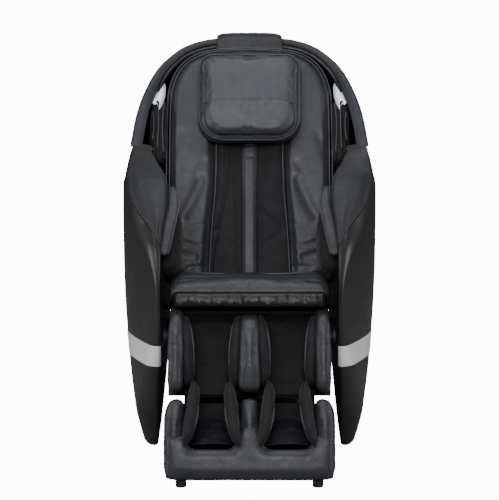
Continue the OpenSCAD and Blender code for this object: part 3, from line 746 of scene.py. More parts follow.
def arm_surface(name):
    """The right arm box's outer skin (from the inner edge round to the outer face) and its flat inner wall."""
    ring = arm_outline()
    m = len(ring)
    centre = Vector((0.0, 0.44))
    normals = []
    for i in range(m):
        a, b = Vector(ring[i - 2]), Vector(ring[(i + 2) % m])
        t = (b - a).normalized()
        n = Vector((t.y, -t.x))
        if n.dot(centre - Vector(ring[i])) < 0:
            n = -n
        normals.append(n)
    outer_r, thick = [], []
    for y, z in ring:
        at_joint = ease((y + 0.14) / 0.19) * ease((z - 0.31) / 0.03)
        top = ease((z - 0.42) / 0.10)
        radius = lerp(lerp(0.034, 0.046, top), 0.002, at_joint)
        wide = max(min(front_x(z), plan_x(y)) - inner_x(y, z), 0.006)
        outer_r.append(min(radius, 0.62 * wide))
        thick.append(wide)

    def at(i, inset, across):
        y, z = ring[i]
        y += normals[i].x * inset
        z += normals[i].y * inset
        lo = inner_x(y, z)
        hi = max(min(front_x(z), plan_x(y)), lo + 0.006)
        return Vector((lo + across * (hi - lo), y, z))

    inner_r = [min(WALL_ROUND, 0.3 * wide) for wide in thick]
    rows = []
    for k in range(5):
        a = math.pi / 2 * k / 4
        rows.append([at(i, inner_r[i] * (1 - math.sin(a)), inner_r[i] / thick[i] * (1 - math.cos(a)))
                     for i in range(m)])
    for k in range(1, 7):
        t = k / 7
        rows.append([at(i, -0.003 * math.sin(math.pi * t) * clamp(ring[i][1] * 3 - 1),
                        lerp(inner_r[i] / thick[i], 1 - outer_r[i] / thick[i], t)) for i in range(m)])
    for k in range(10):
        a = math.pi / 2 * k / 9
        rows.append([at(i, outer_r[i] * (1 - math.cos(a)), 1 - outer_r[i] / thick[i] * (1 - math.sin(a)))
                     for i in range(m)])
    last = rows[-1]
    for k in range(1, 25):
        t = k / 25
        row = []
        for p in last:
            y, z = lerp(p.y, centre.x, t), lerp(p.z, centre.y, t)
            row.append(Vector((max(min(front_x(z), plan_x(y)), inner_x(y, z) + 0.006), y, z)))
        rows.append(row)
    verts = [v for row in rows for v in row]
    skin = mesh_object(name, verts, ring_faces(len(rows), m) + [ring_cap(len(rows) - 1, m)])
    if sum(p.normal.x * p.area for p in skin.data.polygons) < 0:
        skin.data.flip_normals()
    wv = [Vector((0, lerp(p.y, centre.x, k / WALL_RINGS), lerp(p.z, centre.y, k / WALL_RINGS)))
          for k in range(WALL_RINGS) for p in rows[0]]
    for p in wv:
        p.x = inner_x(p.y, p.z) + 0.0004
    wall = mesh_object(name + "_wall", wv, ring_faces(WALL_RINGS, m) + [ring_cap(WALL_RINGS - 1, m)])
    if sum(p.normal.x * p.area for p in wall.data.polygons) > 0:
        wall.data.flip_normals()
    return skin, wall


def level_by(bm, value, sign):
    for v in bm.verts:
        v.co.z += sign * value(v.co)


def keep_side(ob, name, above=None, below=None):
    """A copy of the mesh cut to where z - value(point) lies between two offsets; each limit is (value, offset)."""
    me = ob.data.copy()
    other = new_object(name, me)
    bm = bmesh.new()
    bm.from_mesh(me)
    for limit, sign in ((above, 1), (below, -1)):
        if limit is None:
            continue
        level_by(bm, limit[0], -1)
        bmesh.ops.bisect_plane(bm, geom=bm.verts[:] + bm.edges[:] + bm.faces[:], dist=1e-6,
                               plane_co=(0, 0, limit[1]), plane_no=(0, 0, 1), clear_inner=sign > 0,
                               clear_outer=sign < 0)
        level_by(bm, limit[0], 1)
    bm.to_mesh(me)
    bm.free()
    me.shade_smooth()
    return other


def contour(ob, value, level):
    """Points along the line on a mesh where z - value(point) has a level, in order, as one list."""
    bm = bmesh.new()
    bm.from_mesh(ob.data)
    level_by(bm, value, -1)
    cut = bmesh.ops.bisect_plane(bm, geom=bm.verts[:] + bm.edges[:] + bm.faces[:], dist=1e-6,
                                 plane_co=(0, 0, level), plane_no=(0, 0, 1))["geom_cut"]
    near = {}
    for e in cut:
        if isinstance(e, bmesh.types.BMEdge):
            for v in e.verts:
                near.setdefault(v, []).append(e.other_vert(v))
    done, lines = set(), []
    starts = [v for v in near if len(near[v]) == 1] or list(near)[:1]
    for start in starts:
        line, v = [], start
        while v is not None and v not in done:
            done.add(v)
            line.append(v.co + Vector((0, 0, value(v.co))))
            v = next((w for w in near[v] if w not in done), None)
        lines.append(line)
    bm.free()
    return max(lines, key=len)


def zero(co):
    return 0.0


def panel(ob, thick, bevel, proud=0.0):
    if proud:
        shape(ob, lambda co, n: co + n * proud)
    modifier(ob, "SOLIDIFY", thickness=thick, offset=-1.0, use_even_offset=False)
    if bevel:
        bevel_edges(ob, bevel, 2, 60)
    return apply_modifiers(ob)


def arms():
    skin, wall = arm_surface("arm_skin")
    refine(skin)
    cover = keep_side(skin, "arm_cover", above=(seam_z, GAP))
    side = keep_side(skin, "side_panel", above=(zero, BAND_HI + GAP / 2), below=(seam_z, -GAP))
    band = keep_side(skin, "trim_band", above=(zero, BAND_LO), below=(zero, BAND_HI))
    lower = keep_side(skin, "lower_panel", below=(zero, BAND_LO - GAP / 2))
    rows = []
    for k in (1, 2):
        row = contour(cover, lambda co: seam_z(co + Vector((0.0042 * k, 0, 0))), 0.0035 * k)
        row = [p for p in row if p.z > 0.63 and p.y < 0.055]
        rows.append([p + Vector((0.0006, -0.0007, 0.0008)) for p in spline(row[::4], 3)])
    seam = stitches("arm_stitches", rows, pitch=0.0068, length=0.0046, r=0.00062)
    shape(cover, lambda co, n: co + n * (0.0008 + 0.0012 * rough(co, 0.16)))
    parts = [
        (panel(cover, 0.0035, 0.0016), "arm", "arm_leather", "arm_cover"),
        (panel(side, 0.0035, 0.0009), "side", "side_leather", "side_panel"),
        (panel(band, 0.0030, 0.0009, proud=0.0012), "silver", "silver_trim", "trim_band"),
        (panel(lower, 0.0035, 0.0009), "lower", "side_leather", "lower_panel"),
        # the inner wall's near-black finish is painted shade in the recess beside the seat
        (panel(wall, 0.0030, 0.0), "inner", "side_leather", "arm_inner"),
        (seam, "thread", "arm_leather", None),
    ]
    for ob, mat, slot, node in parts:
        base = ob.name
        ob.name = base + "_r"
        finish(ob, mat, "seat", slot, *([node + "_right"] if node else []))
        finish(mirror_copy(ob, base + "_l"), mat, "seat", slot, *([node + "_left"] if node else []))
    bpy.data.objects.remove(skin)


# ---- Backrest upholstery -----------------------------------------------------------------
PAD_FRONT = -0.046       # front of the back pad in the backrest's frame
PAD_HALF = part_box("back_pad")[1].x
PAD_LOW = -0.050


def slab(name, outline, depth_at, thick, edge, n_in, crown=0.0):
    """A crowned pad in a tilted frame: an outline of (x, z), a front depth(x, z), a thickness and a round edge."""
    m = len(outline)
    cx = sum(p[0] for p in outline) / m
    cz = sum(p[1] for p in outline) / m
    normals = []
    for i in range(m):
        a, b = Vector(outline[i - 2]), Vector(outline[(i + 2) % m])
        t = (b - a).normalized()
        n = Vector((-t.y, t.x))
        if n.dot(Vector((cx, cz)) - Vector(outline[i])) < 0:
            n = -n
        normals.append(n)
    back = edge * 0.6

    def inset(by, depth):
        return [(p[0] + n.x * by, p[1] + n.y * by, depth) for p, n in zip(outline, normals)]
    quarter = lambda count: [math.pi / 2 * k / (count - 1) for k in range(count)]
    rows = [inset(back * (1 - math.sin(a)), thick - back * (1 - math.cos(a))) for a in quarter(5)]
    rows += [inset(edge * (1 - math.cos(a)), edge * (1 - math.sin(a))) for a in quarter(6)]
    last = rows[-1]
    for k in range(1, n_in):
        t = k / n_in
        rows.append([(lerp(x, lerp(cx, x, 0.15), t), lerp(z, lerp(cz, z, 0.15), t), -crown * ease(t * 1.6))
                     for x, z, _ in last])
    return loft(name, [[on_back(x, depth_at(x, z) + d, z) for x, z, d in row] for row in rows])


def round_rect(x0, x1, z0, z1, low_r, high_r):
    """A rounded rectangle as (x, z), with one radius for its lower and one for its upper corners."""
    corners = [(x0 + low_r, z0 + low_r, 180, low_r), (x1 - low_r, z0 + low_r, 270, low_r),
               (x1 - high_r, z1 - high_r, 0, high_r), (x0 + high_r, z1 - high_r, 90, high_r)]
    pts = []
    for cx, cz, start, r in corners:
        for k in range(8):
            a = math.radians(start + 90 * k / 7)
            pts.append(Vector((cx + r * math.cos(a), cz + r * math.sin(a), 0)))
    return [(p.x, p.y) for p in resample(pts + [pts[0].copy()], 0.012)[:-1]]


def local(co):
    """World point to the backrest's frame, as (x, depth, height)."""
    d = co - RECLINE
    return d.x, d.dot(BACK_IN), d.dot(BACK_UP)


BAND_EDGE = [(-0.10, 0.123), (0.00, 0.1195), (0.055, 0.1174), (0.125, 0.1138), (0.19, 0.1087), (0.28, 0.102),
             (0.38, 0.1005), (0.62, 0.100)]
FOLD_EDGE = {"left": [(-0.05, 0.116), (0.05, 0.107), (0.098, 0.097), (0.178, 0.084), (0.26, 0.069), (0.31, 0.063),
                      (0.39, 0.066), (0.64, 0.074)],
             "right": [(-0.05, 0.0245), (0.10, 0.0250), (0.20, 0.0285), (0.26, 0.036), (0.31, 0.046), (0.39, 0.059),
                       (0.64, 0.074)]}


# Creases in a wing of the back pad, as (x, z) in the backrest's frame with a width and a depth
CREASES = [([(0.146, 0.318), (0.158, 0.275), (0.182, 0.218), (0.206, 0.176), (0.222, 0.150)], 0.017, 0.0065),
           ([(0.128, 0.158), (0.148, 0.146), (0.176, 0.138), (0.205, 0.146)], 0.007, 0.0030),
           ([(0.136, 0.085), (0.165, 0.076), (0.200, 0.088), (0.230, 0.100)], 0.009, 0.0035),
           ([(0.150, 0.038), (0.190, 0.050), (0.238, 0.062)], 0.012, 0.0050),
           ([(0.130, 0.006), (0.165, 0.014), (0.200, 0.004)], 0.009, 0.0035),
           ([(0.205, 0.470), (0.226, 0.410), (0.244, 0.345)], 0.012, 0.0020),
           ([(0.128, 0.360), (0.150, 0.345), (0.176, 0.300)], 0.010, 0.0022)]


def back_wings():
    """The leather of the back pad: two wings joined over the top, blown up and creased."""
    for s, side in SIDES:
        outer = [(PAD_HALF, PAD_LOW + 0.02), (PAD_HALF, 0.10), (PAD_HALF, 0.40), (PAD_HALF - 0.001, 0.555),
                 (PAD_HALF - 0.010, 0.615), (PAD_HALF - 0.030, 0.662), (PAD_HALF - 0.060, 0.695),
                 (PAD_HALF - 0.100, 0.717), (0.10, 0.731), (0.0015, 0.734)]
        inner = [(0.0015, 0.632), (0.100, 0.630), (table(BAND_EDGE, 0.60), 0.612)]
        inner += [(table(BAND_EDGE, z), z) for z in (0.50, 0.40, 0.30, 0.20, 0.10, 0.0, PAD_LOW + 0.01)]
        path = flat_spline(outer, 6) + [Vector((x, z, 0)) for x, z in inner]
        path.append(path[0].copy())
        ring = resample(path, 0.011)[:-1]
        outline = [(s * p.x, p.y) for p in ring]
        ob = slab("back_pad_" + side, outline, lambda x, z: PAD_FRONT + 0.004, 0.060, 0.016, n_in=2)
        modifier(ob, "TRIANGULATE")
        apply_modifiers(ob)
        ob = puff(ob, voxel=0.0065, pressure=3.5, cap=0.010, frames=14)
        creases = [([on_back(s * x, PAD_FRONT, z) for x, z in path], wide, deep) for path, wide, deep in CREASES]

        def detail(co, n):
            x, _, z = local(co)
            front = clamp(-n.dot(BACK_IN))
            sink = sum(crease(on_back(x, PAD_FRONT, z), *each) for each in creases)
            edge_gap = abs(x) - table(BAND_EDGE, z)
            rim = 0.0045 * bell(edge_gap - 0.019, 0.0035) if z < 0.62 else 0.0
            edge_out = PAD_HALF - abs(x)
            rim += 0.003 * bell(edge_out - 0.022, 0.0035) if z < 0.52 else 0.0
            low = ease((0.30 - z) / 0.25)
            wrinkle = lerp(0.0012, 0.0024, low) * rough(Vector((x, 0.3 * s, z * lerp(1.0, 1.7, low))), 0.085, 3)
            return co + BACK_IN * (front * (sink + rim - wrinkle))

        shape(ob, detail)
        refine(ob)
        cushion(ob, "leather", "backrest", "leather", 0.75, *first(s > 0, "back_pad"))
        inside = spline([on_back(s * (table(BAND_EDGE, z) + 0.004), PAD_FRONT - 0.0035, z)
                         for z in (-0.035, 0.05, 0.15, 0.25, 0.35, 0.45, 0.55, 0.605)], 6)
        piping("back_piping_" + side, inside, 0.0026, "backrest")
        rows = [spline([on_back(s * (table(BAND_EDGE, z) + off), PAD_FRONT - 0.0062, z)
                        for z in (-0.03, 0.05, 0.15, 0.25, 0.35, 0.45, 0.55, 0.60)], 6) for off in (0.0155, 0.0225)]
        sewing("back_stitches_" + side, rows, "backrest", pitch=0.0066, length=0.0045)
    edge = [(-0.262, 0.02), (-0.262, 0.30), (-0.261, 0.540), (-0.252, 0.612), (-0.232, 0.660), (-0.202, 0.694),
            (-0.162, 0.717), (-0.10, 0.731), (0.0, 0.7345)]
    edge += [(-x, z) for x, z in edge[-2::-1]]
    for k, (inset, depth) in enumerate(((0.001, 0.008), (0.011, -0.003))):
        run = [on_back(x * (1 - inset / 0.262), PAD_FRONT + depth, z - inset) for x, z in edge]
        piping("back_edge_piping_%d" % (k + 1), spline(run, 8), 0.0026, "backrest")


def fabric_bands():
    """Stretch fabric over the massage opening: a ground darkened as painted shade behind the folds, a lighter fold
    on each side of the strip, and on the left a drape, partly under the fold, lightened as painted light.
    """
    half = 0.116
    ground = sheet_of("band_ground", lambda u, v: on_back(lerp(-half, half, u), PAD_FRONT + 0.010
                      + 0.0016 * rough(Vector((u * 2, 0.2, v * 5)), 0.35), lerp(-0.05, 0.640, v)), 40, 110,
                      thick=0.004, offset=1.0)
    # the ground's darker copy of the fabric is painted shade behind the folds
    finish(ground, "fabric_dark", "backrest", "stretch_fabric", "back_bands")

    def drape(u, v):
        z = lerp(-0.05, 0.40, v)
        x0 = table([(-0.05, 0.030), (0.08, 0.040), (0.15, 0.041), (0.25, 0.048), (0.34, 0.052), (0.40, 0.050)], z)
        x = lerp(x0, 0.112, u)
        swell = 0.0045 * math.sin(math.pi * clamp(u * 0.9)) ** 0.6
        lip = 0.0035 * bell(u - 0.05, 0.08)
        ripple = 0.0022 * rough(Vector((x * 1.2, 1.7, z * 1.6)), 0.06, 3)
        pinch = 0.0040 * bell((z - 0.085) + (x - 0.045) * 0.8, 0.010) * bell(x - 0.045, 0.02)
        fade = 0.004 * ease((z - 0.30) / 0.10)
        return on_back(-x, PAD_FRONT + 0.0085 - swell - lip - ripple + pinch + fade, z)
    under = sheet_of("band_drape", drape, 24, 90, thick=0.003, offset=0.0, levels=1)
    # the drape's lighter copy of the fabric is painted light where the folds catch the light
    cushion(under, "fabric_mid", "backrest", "stretch_fabric", 0.3)
    for s, side in SIDES:
        def fold(u, v, s=s, side=side):
            z = lerp(-0.05, 0.628, v)
            x0, x1 = table(FOLD_EDGE[side], z), table(BAND_EDGE, z) + 0.006
            x = lerp(x0, x1, u)
            swell = 0.0085 * math.sin(math.pi * clamp(u)) ** 0.6
            lip = 0.0045 * bell(u - 0.04, 0.06)
            ripple = 0.0020 * rough(Vector((x * 1.2, 0.7, z * 2.0)), 0.06, 3)
            slack = 0.0035 * bell((z - 0.155) + (x - 0.075) * 0.9, 0.010) * math.sin(math.pi * u)
            slack += 0.0030 * bell((z - 0.105) - (x - 0.075) * 0.6, 0.009) * math.sin(math.pi * u)
            return on_back(s * x, PAD_FRONT + 0.006 - swell - lip - ripple + slack, z)
        ob = sheet_of("band_fold_" + side, fold, 22, 130, thick=0.004, offset=0.0, levels=1)
        cushion(ob, "fabric", "backrest", "stretch_fabric", 0.4)


def centre_strip():
    """The leather strip up the middle, tucked across below the pillow, with stitches down each edge."""
    half = 0.0225

    def strip(u, v):
        z = lerp(-0.05, 0.630, v)
        x = lerp(-half, half, u)
        bar = 1 - 0.55 * bell(z - 0.405, 0.006) - 0.45 * bell(z - 0.368, 0.006)
        pillowy = 0.0042 * (1 - abs(2 * u - 1) ** 3) * bar + 0.0009 * rough(Vector((x, 2.0, z)), 0.05, 3)
        trough = 0.0016 * (bell(abs(x) - 0.0165, 0.0018))
        return on_back(x, PAD_FRONT + 0.002 - pillowy + trough + 0.004 * abs(2 * u - 1) ** 6, z)
    ob = sheet_of("centre_strip_cover", strip, 20, 260, thick=0.005, offset=1.0)
    finish(ob, "leather", "backrest", "leather", "centre_strip")
    rows = [[on_back(x, PAD_FRONT - 0.0002, z / 100) for z in range(-4, 63)] for x in (-0.0165, 0.0165)]
    sewing("centre_strip_stitches", rows, "backrest")


# ---- Pillow ------------------------------------------------------------------------------
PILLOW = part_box("pillow")
PILLOW_HALF = PILLOW[1].x
PILLOW_LO = 0.396
PILLOW_HI = 0.698
PILLOW_BACK = PAD_FRONT - 0.006


def pillow():
    """A back layer and a front panel in two quilted halves, with a deep groove and piping between them."""
    x0 = PILLOW_HALF
    back = slab("pillow_back", round_rect(-x0 + 0.004, x0 - 0.004, PILLOW_LO + 0.002, PILLOW_HI - 0.004,
                0.085, 0.048), lambda x, z: PILLOW_BACK - 0.046, 0.044, 0.020, n_in=4, crown=0.002)
    back = puff(back, voxel=0.006, pressure=4.0, cap=0.007, frames=14)
    shape(back, lambda co, n: co + n * (0.0022 * rough(co, 0.05, 4)))
    refine(back)
    cushion(back, "pillow", "pillow", "leather", 0.8, "pillow")
    inset = 0.021
    seam_at = 0.5250
    front = slab("pillow_front", round_rect(-x0 + inset, x0 - inset, PILLOW_LO + inset * 0.75, PILLOW_HI - 0.012,
                 0.070, 0.040), lambda x, z: PILLOW_BACK - 0.066, 0.034, 0.015, n_in=6, crown=0.004)
    front = puff(front, voxel=0.0055, pressure=5.0, cap=0.009, frames=16)

    def detail(co, n):
        x, _, z = local(co)
        face = clamp(-n.dot(BACK_IN))
        line = seam_at - 0.014 * clamp(abs(x) / x0) ** 6
        sink = 0.0042 * bell(z - line, 0.0040)
        sink -= 0.0022 * bell(z - line + 0.014, 0.014)
        pulls = 0.0011 * math.sin(x * 170 + 3 * math.sin(x * 31)) * math.exp(-abs(z - line) / 0.018)
        soft = 0.0020 * rough(Vector((x, 0.1, z * 1.3)), 0.07, 4)
        return co + BACK_IN * (face * (sink + pulls - soft))

    shape(front, detail)
    refine(front)
    cushion(front, "pillow", "pillow", "leather", 0.9)
    # A thin very dark tube laid in the groove between the pillow's halves: painted shade that draws the groove's
    # dark line.
    groove = tube("pillow_seam_shade_line", [on_back(x, PILLOW_BACK - 0.0672, seam_at - 0.014 * clamp(abs(x) / x0) ** 6)
                                  for x in [i * 0.005 for i in range(-29, 30)]], 0.0014, 8)
    finish(groove, "roll", "pillow", "leather")
    ring = round_rect(-x0 + 0.013, x0 - 0.013, PILLOW_LO + 0.010, PILLOW_HI - 0.009, 0.078, 0.044)
    path = [on_back(x, PILLOW_BACK - 0.0455, z) for x, z in ring]
    piping("pillow_piping", path, 0.0027, "pillow", closed=True)
    line = [on_back(x, PILLOW_BACK - 0.0695 + 0.0028, seam_at - 0.014 * (abs(x) / x0) ** 6 + 0.0095)
            for x in [i * 0.01 for i in range(-14, 15)]]
    sewing("pillow_stitches", [line], "pillow", pitch=0.0064)


def pillow_flap():
    """The leather strap from the pillow over the hood's rim, wrinkled, with turned and stitched edges."""
    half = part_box("pillow_flap")[1].x
    path = spline([(0, 0.318, 1.126), (0, 0.336, 1.150), (0, 0.345, 1.176), (0, 0.356, 1.199), (0, 0.376, 1.2105),
                   (0, 0.405, 1.2125), (0, 0.452, 1.2055), (0, 0.497, 1.1925)], 10)
    count = len(path) - 1

    def strap(u, v):
        p = path[round(v * count)].copy()
        side = (2 * u - 1)
        narrow = lerp(1.0, 0.965, ease((0.34 - v) / 0.2))
        x = side * (half - 0.001) * narrow
        down = 0.010 * abs(side) ** 7 * ease((v - 0.15) / 0.2)
        sag = 0.0014 * rough(Vector((x * 0.9, p.y * 1.6, p.z * 1.6)), 0.045, 4)
        crumple = 0.0022 * bell(v - 0.20 + 0.05 * side + 0.02 * math.sin(9 * side), 0.028)
        crumple += 0.0018 * bell(v - 0.11 - 0.03 * side, 0.022)
        return Vector((x, p.y - sag - crumple, p.z - down - sag * 0.8))
    ob = sheet_of("pillow_flap_cover", strap, 56, count, thick=0.0062, offset=0.0)
    bevel_edges(ob, 0.0022, 3, 55)
    apply_modifiers(ob)
    finish(ob, "arm", None, "leather", "pillow_flap")
    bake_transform(ob)
    rows = []
    for side in (-1, 1):
        rows.append([Vector((side * (half - 0.010), p.y, p.z)) + Vector((0, -0.25, 0.97)) * 0.0040
                     for p in path[28:]])
    rows.append([Vector((x / 100, path[34].y - 0.0030, path[34].z + 0.0036)) for x in range(-9, 10)])
    sewing("pillow_flap_stitches", rows, "backrest", pitch=0.0075, length=0.005)


# ---- Inside the hood ---------------------------------------------------------------------
def shoulder_pads():
    """Air pads at the shoulders: a dark padded lining beside the back pad, with three runs of light piping."""
    outline = [(-0.074, 0.352), (-0.030, 0.346), (0.035, 0.356), (0.040, 0.44), (0.038, 0.520), (0.0, 0.560),
               (-0.030, 0.566), (-0.056, 0.530), (-0.076, 0.450)]
    for s, side in SIDES:
        node = "shoulder_pad_" + side
        ring = resample([Vector((p.x, p.y, 0)) for p in flat_spline(outline, 6, closed=True)], 0.010)
        places = ((0.311, 0.78), (0.308, 0.92), (0.298, 1.0), (0.280, 1.0), (0.270, 0.95), (0.266, 0.82),
                  (0.265, 0.5), (0.265, 0.15))
        rows = [[on_back(s * x, lerp(-0.02, p.x, scale), lerp(0.455, p.y, scale)) for p in ring]
                for x, scale in places]
        ob = puff(loft(node + "_cover", rows), voxel=0.0055, pressure=3.0, cap=0.004, frames=10)

        def ribs(co, n):
            x = abs(co.x)
            dip = sum(bell(x - at, 0.0040) for at in (0.2790, 0.2960, 0.3075))
            return co + BACK_IN * (clamp(-n.dot(BACK_IN)) * (0.006 * dip)) + n * (0.0020 * rough(co, 0.035, 4))
        refine(shape(ob, ribs))
        cushion(ob, "fabric_dark", "backrest", "stretch_fabric", 0.7, node)
        for k, (x, lo, hi, bow) in enumerate(((0.2690, 0.372, 0.545, 0.004), (0.2890, 0.385, 0.545, -0.003),
                                              (0.3040, 0.412, 0.505, -0.004))):
            run = []
            for i in range(9):
                t = i / 8
                z = lerp(lo, hi, t)
                depth = table([(0.346, -0.070), (0.400, -0.082), (0.450, -0.083), (0.500, -0.074),
                               (0.566, -0.036)], z)
                run.append(on_back(s * (x + bow * math.sin(math.pi * t)), depth + 0.003 * (x > 0.3), z))
            piping("shoulder_piping_%s_%d" % (side, k + 1), spline(run, 4), 0.0022, "backrest", "stretch_fabric")


def speakers():
    """Silver speaker covers: a faceted blade just behind the hood's rim, with a slot of speaker cloth."""
    blade = [(0.274, 1.064), (0.2865, 1.045), (0.2985, 1.020), (0.3080, 0.994), (0.3010, 0.987), (0.2940, 0.991),
             (0.2850, 0.972), (0.2750, 0.990), (0.2690, 1.012), (0.2675, 1.038)]
    slot = [(0.2975, 0.999), (0.2930, 0.9945), (0.2870, 0.9860), (0.2835, 0.9920), (0.2865, 1.003), (0.2925, 1.006)]
    for s, side in SIDES:
        def place(x, z, out, s=s):
            return Vector((s * x, rim_y(z) + 0.036 + 0.35 * (0.300 - x) - out, z))
        mid = (0.2830, 1.018)
        rows = [[place(lerp(mid[0], x, k), lerp(mid[1], z, k), out) for x, z in blade]
                for out, k in ((-0.012, 0.86), (-0.002, 1.0), (0.001, 0.985), (0.0055, 0.52))]
        ob = loft("speaker_blade_" + side, rows)
        bevel_edges(ob, 0.0012, 2, 14)
        apply_modifiers(ob)
        finish(ob, "silver", "backrest", "silver_trim", "speaker_" + side)
        rows = [[place(x, z, out) for x, z in slot] for out in (0.0005, 0.0048)]
        finish(loft("speaker_cloth_" + side, rows), "mesh", "backrest", "silver_trim")


# ---- Seat --------------------------------------------------------------------------------
SEAT_SIDE = [(-0.388, 0.480), (-0.389, 0.500), (-0.370, 0.520), (-0.330, 0.530), (-0.260, 0.529), (-0.160, 0.512),
             (-0.060, 0.489), (0.030, 0.472), (0.040, 0.462), (-0.02, 0.455), (-0.16, 0.448), (-0.30, 0.448),
             (-0.375, 0.462)]
SEAT_TOP = [(-0.389, 0.505), (-0.370, 0.521), (-0.330, 0.532), (-0.260, 0.531), (-0.160, 0.514), (-0.060, 0.492),
            (0.030, 0.474)]
ROLL_SEAM_Y = -0.318


def seat():
    """The seat cushion: a front roll, a soft dish for each thigh, a welt at the rear and tucked ends."""
    ring = side_ring(SEAT_SIDE, 8, 0.010)
    sections = []
    mid = Vector((0, -0.19, 0.482))
    for k in range(49):
        t = 2 * k / 48 - 1
        x = SEAT_HALF * math.copysign(1 - (1 - abs(t)) ** 1.25, t) * 0.996
        tuck = 1 - 0.30 * clamp((abs(x) - (SEAT_HALF - 0.034)) / 0.034) ** 2.4
        row = []
        for p in ring:
            q = mid.lerp(p, 1 - 0.06 * (1 - tuck))
            row.append(Vector((x, q.y, mid.z + (q.z - mid.z) * tuck)))
        sections.append(row)
    ob = puff(loft("seat_cushion_cover", sections), voxel=0.0065, pressure=3.0, cap=0.006, frames=14)
    folds = [([Vector((s * x0, y0, 0.52)), Vector((s * x1, y1, 0.52)), Vector((s * x2, y2, 0.52))], w, d)
             for s in (-1, 1) for x0, y0, x1, y1, x2, y2, w, d in (
                 (0.205, -0.30, 0.165, -0.27, 0.110, -0.28, 0.009, 0.0040),
                 (0.200, -0.16, 0.150, -0.14, 0.100, -0.15, 0.010, 0.0040),
                 (0.120, -0.06, 0.070, -0.045, 0.020, -0.05, 0.009, 0.0030),
                 (0.215, -0.36, 0.180, -0.352, 0.150, -0.356, 0.006, 0.0030))]

    def detail(co, n):
        up = clamp(n.z)
        dish = 0.010 * bell(abs(co.x) - 0.100, 0.060) * bell(co.y + 0.19, 0.10)
        sink = sum(crease(Vector((co.x, co.y, 0.52)), path, w, d) for path, w, d in folds)
        seam = ROLL_SEAM_Y - 0.006 * (abs(co.x) / SEAT_HALF) ** 2
        line = 0.0060 * bell(co.y - seam, 0.0055)
        soft = 0.0024 * rough(Vector((co.x, co.y * 1.4, 0.3)), 0.085, 4)
        front = clamp(-n.y) * 0.0020 * rough(Vector((co.x * 1.6, 0.2, co.z)), 0.05, 4)
        return co - Vector((0, 0, 1)) * (up * (dish + sink + line - soft)) - Vector((0, 1, 0)) * front
    refine(shape(ob, detail))
    cushion(ob, "soft", "seat", "leather", 0.85, "seat_cushion")

    def seam_row(off):
        row = []
        for k in range(-20, 21):
            y = ROLL_SEAM_Y - 0.006 * (abs(k) / 22.6) ** 2 + off
            row.append(Vector((k / 100, y, table(SEAT_TOP, y) + 0.0010)))
        return row
    sewing("seat_stitches", [seam_row(-0.011), seam_row(0.011)], "seat", pitch=0.0066, length=0.0045, r=0.0006)
    right = [(0, 0.032, 0.481), (0.09, 0.028, 0.482), (0.170, 0.012, 0.487), (0.205, -0.020, 0.488),
             (0.222, -0.075, 0.472)]
    rear = spline([(-x, y, z) for x, y, z in right[:0:-1]] + right, 8)
    piping("seat_rear_piping", rear, 0.0034, "seat")


def seat_skirt():
    """The soft apron that hangs from the seat's front edge, rucked where it folds under."""
    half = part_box("seat_skirt")[1].x - 0.002
    profile = [(-0.3885, 0.502), (-0.406, 0.505), (-0.4205, 0.5010), (-0.4290, 0.489), (-0.4315, 0.475),
               (-0.4265, 0.4665), (-0.418, 0.4645), (-0.404, 0.4665), (-0.3915, 0.4705), (-0.3885, 0.483)]
    ring = side_ring(profile, 8, 0.004)
    sections = []
    count = 150
    mid = Vector((0, -0.404, 0.483))
    for k in range(count + 1):
        x = half * (2 * k / count - 1)
        end = max(0.05, 1 - clamp((abs(x) - (half - 0.020)) / 0.020) ** 2.6) ** 0.5
        row = []
        for p in ring:
            q = mid.lerp(p, end)
            lean = clamp((mid.y - q.y) / 0.03)
            gather = math.sin(x * 95 + 5 * noise.noise(Vector((x * 9, 0, 0)))) * 0.0013
            gather += 0.0030 * rough(Vector((x * 1.8, q.y, q.z * 1.1)), 0.030, 4)
            q = q + Vector((0, -1, 0.15)) * (gather * lean)
            row.append(Vector((x, q.y, q.z)))
        sections.append(row)
    ob = refine(loft("seat_skirt_cover", sections))
    # the apron's very dark leather is partly its own dark leather and partly painted shade under the seat's front
    # roll
    cushion(ob, "under", "seat", "leather", 0.35, "seat_skirt")


def pad_on_wall(name, ring, across, to, voxel, cap, frames=12, grain=0.0014, size=0.03, lean=lambda z: 0.0):
    """A pad that stands off a wall: the ring of (0, a, b) points is scaled towards its middle as it rises.
    lean shifts it in x by height."""
    mid = sum(ring, Vector()) / len(ring)
    rows = [[to(x + lean(q.z), q.y, q.z) for q in [mid.lerp(p, scale) for p in ring]] for x, scale in across]
    ob = puff(loft(name, rows), voxel=voxel, pressure=4.0, cap=cap, frames=frames)
    return shape(ob, lambda co, n: co + n * (grain * rough(co, size, 4)))


def world_point(x, y, z):
    return Vector((x, y, z))


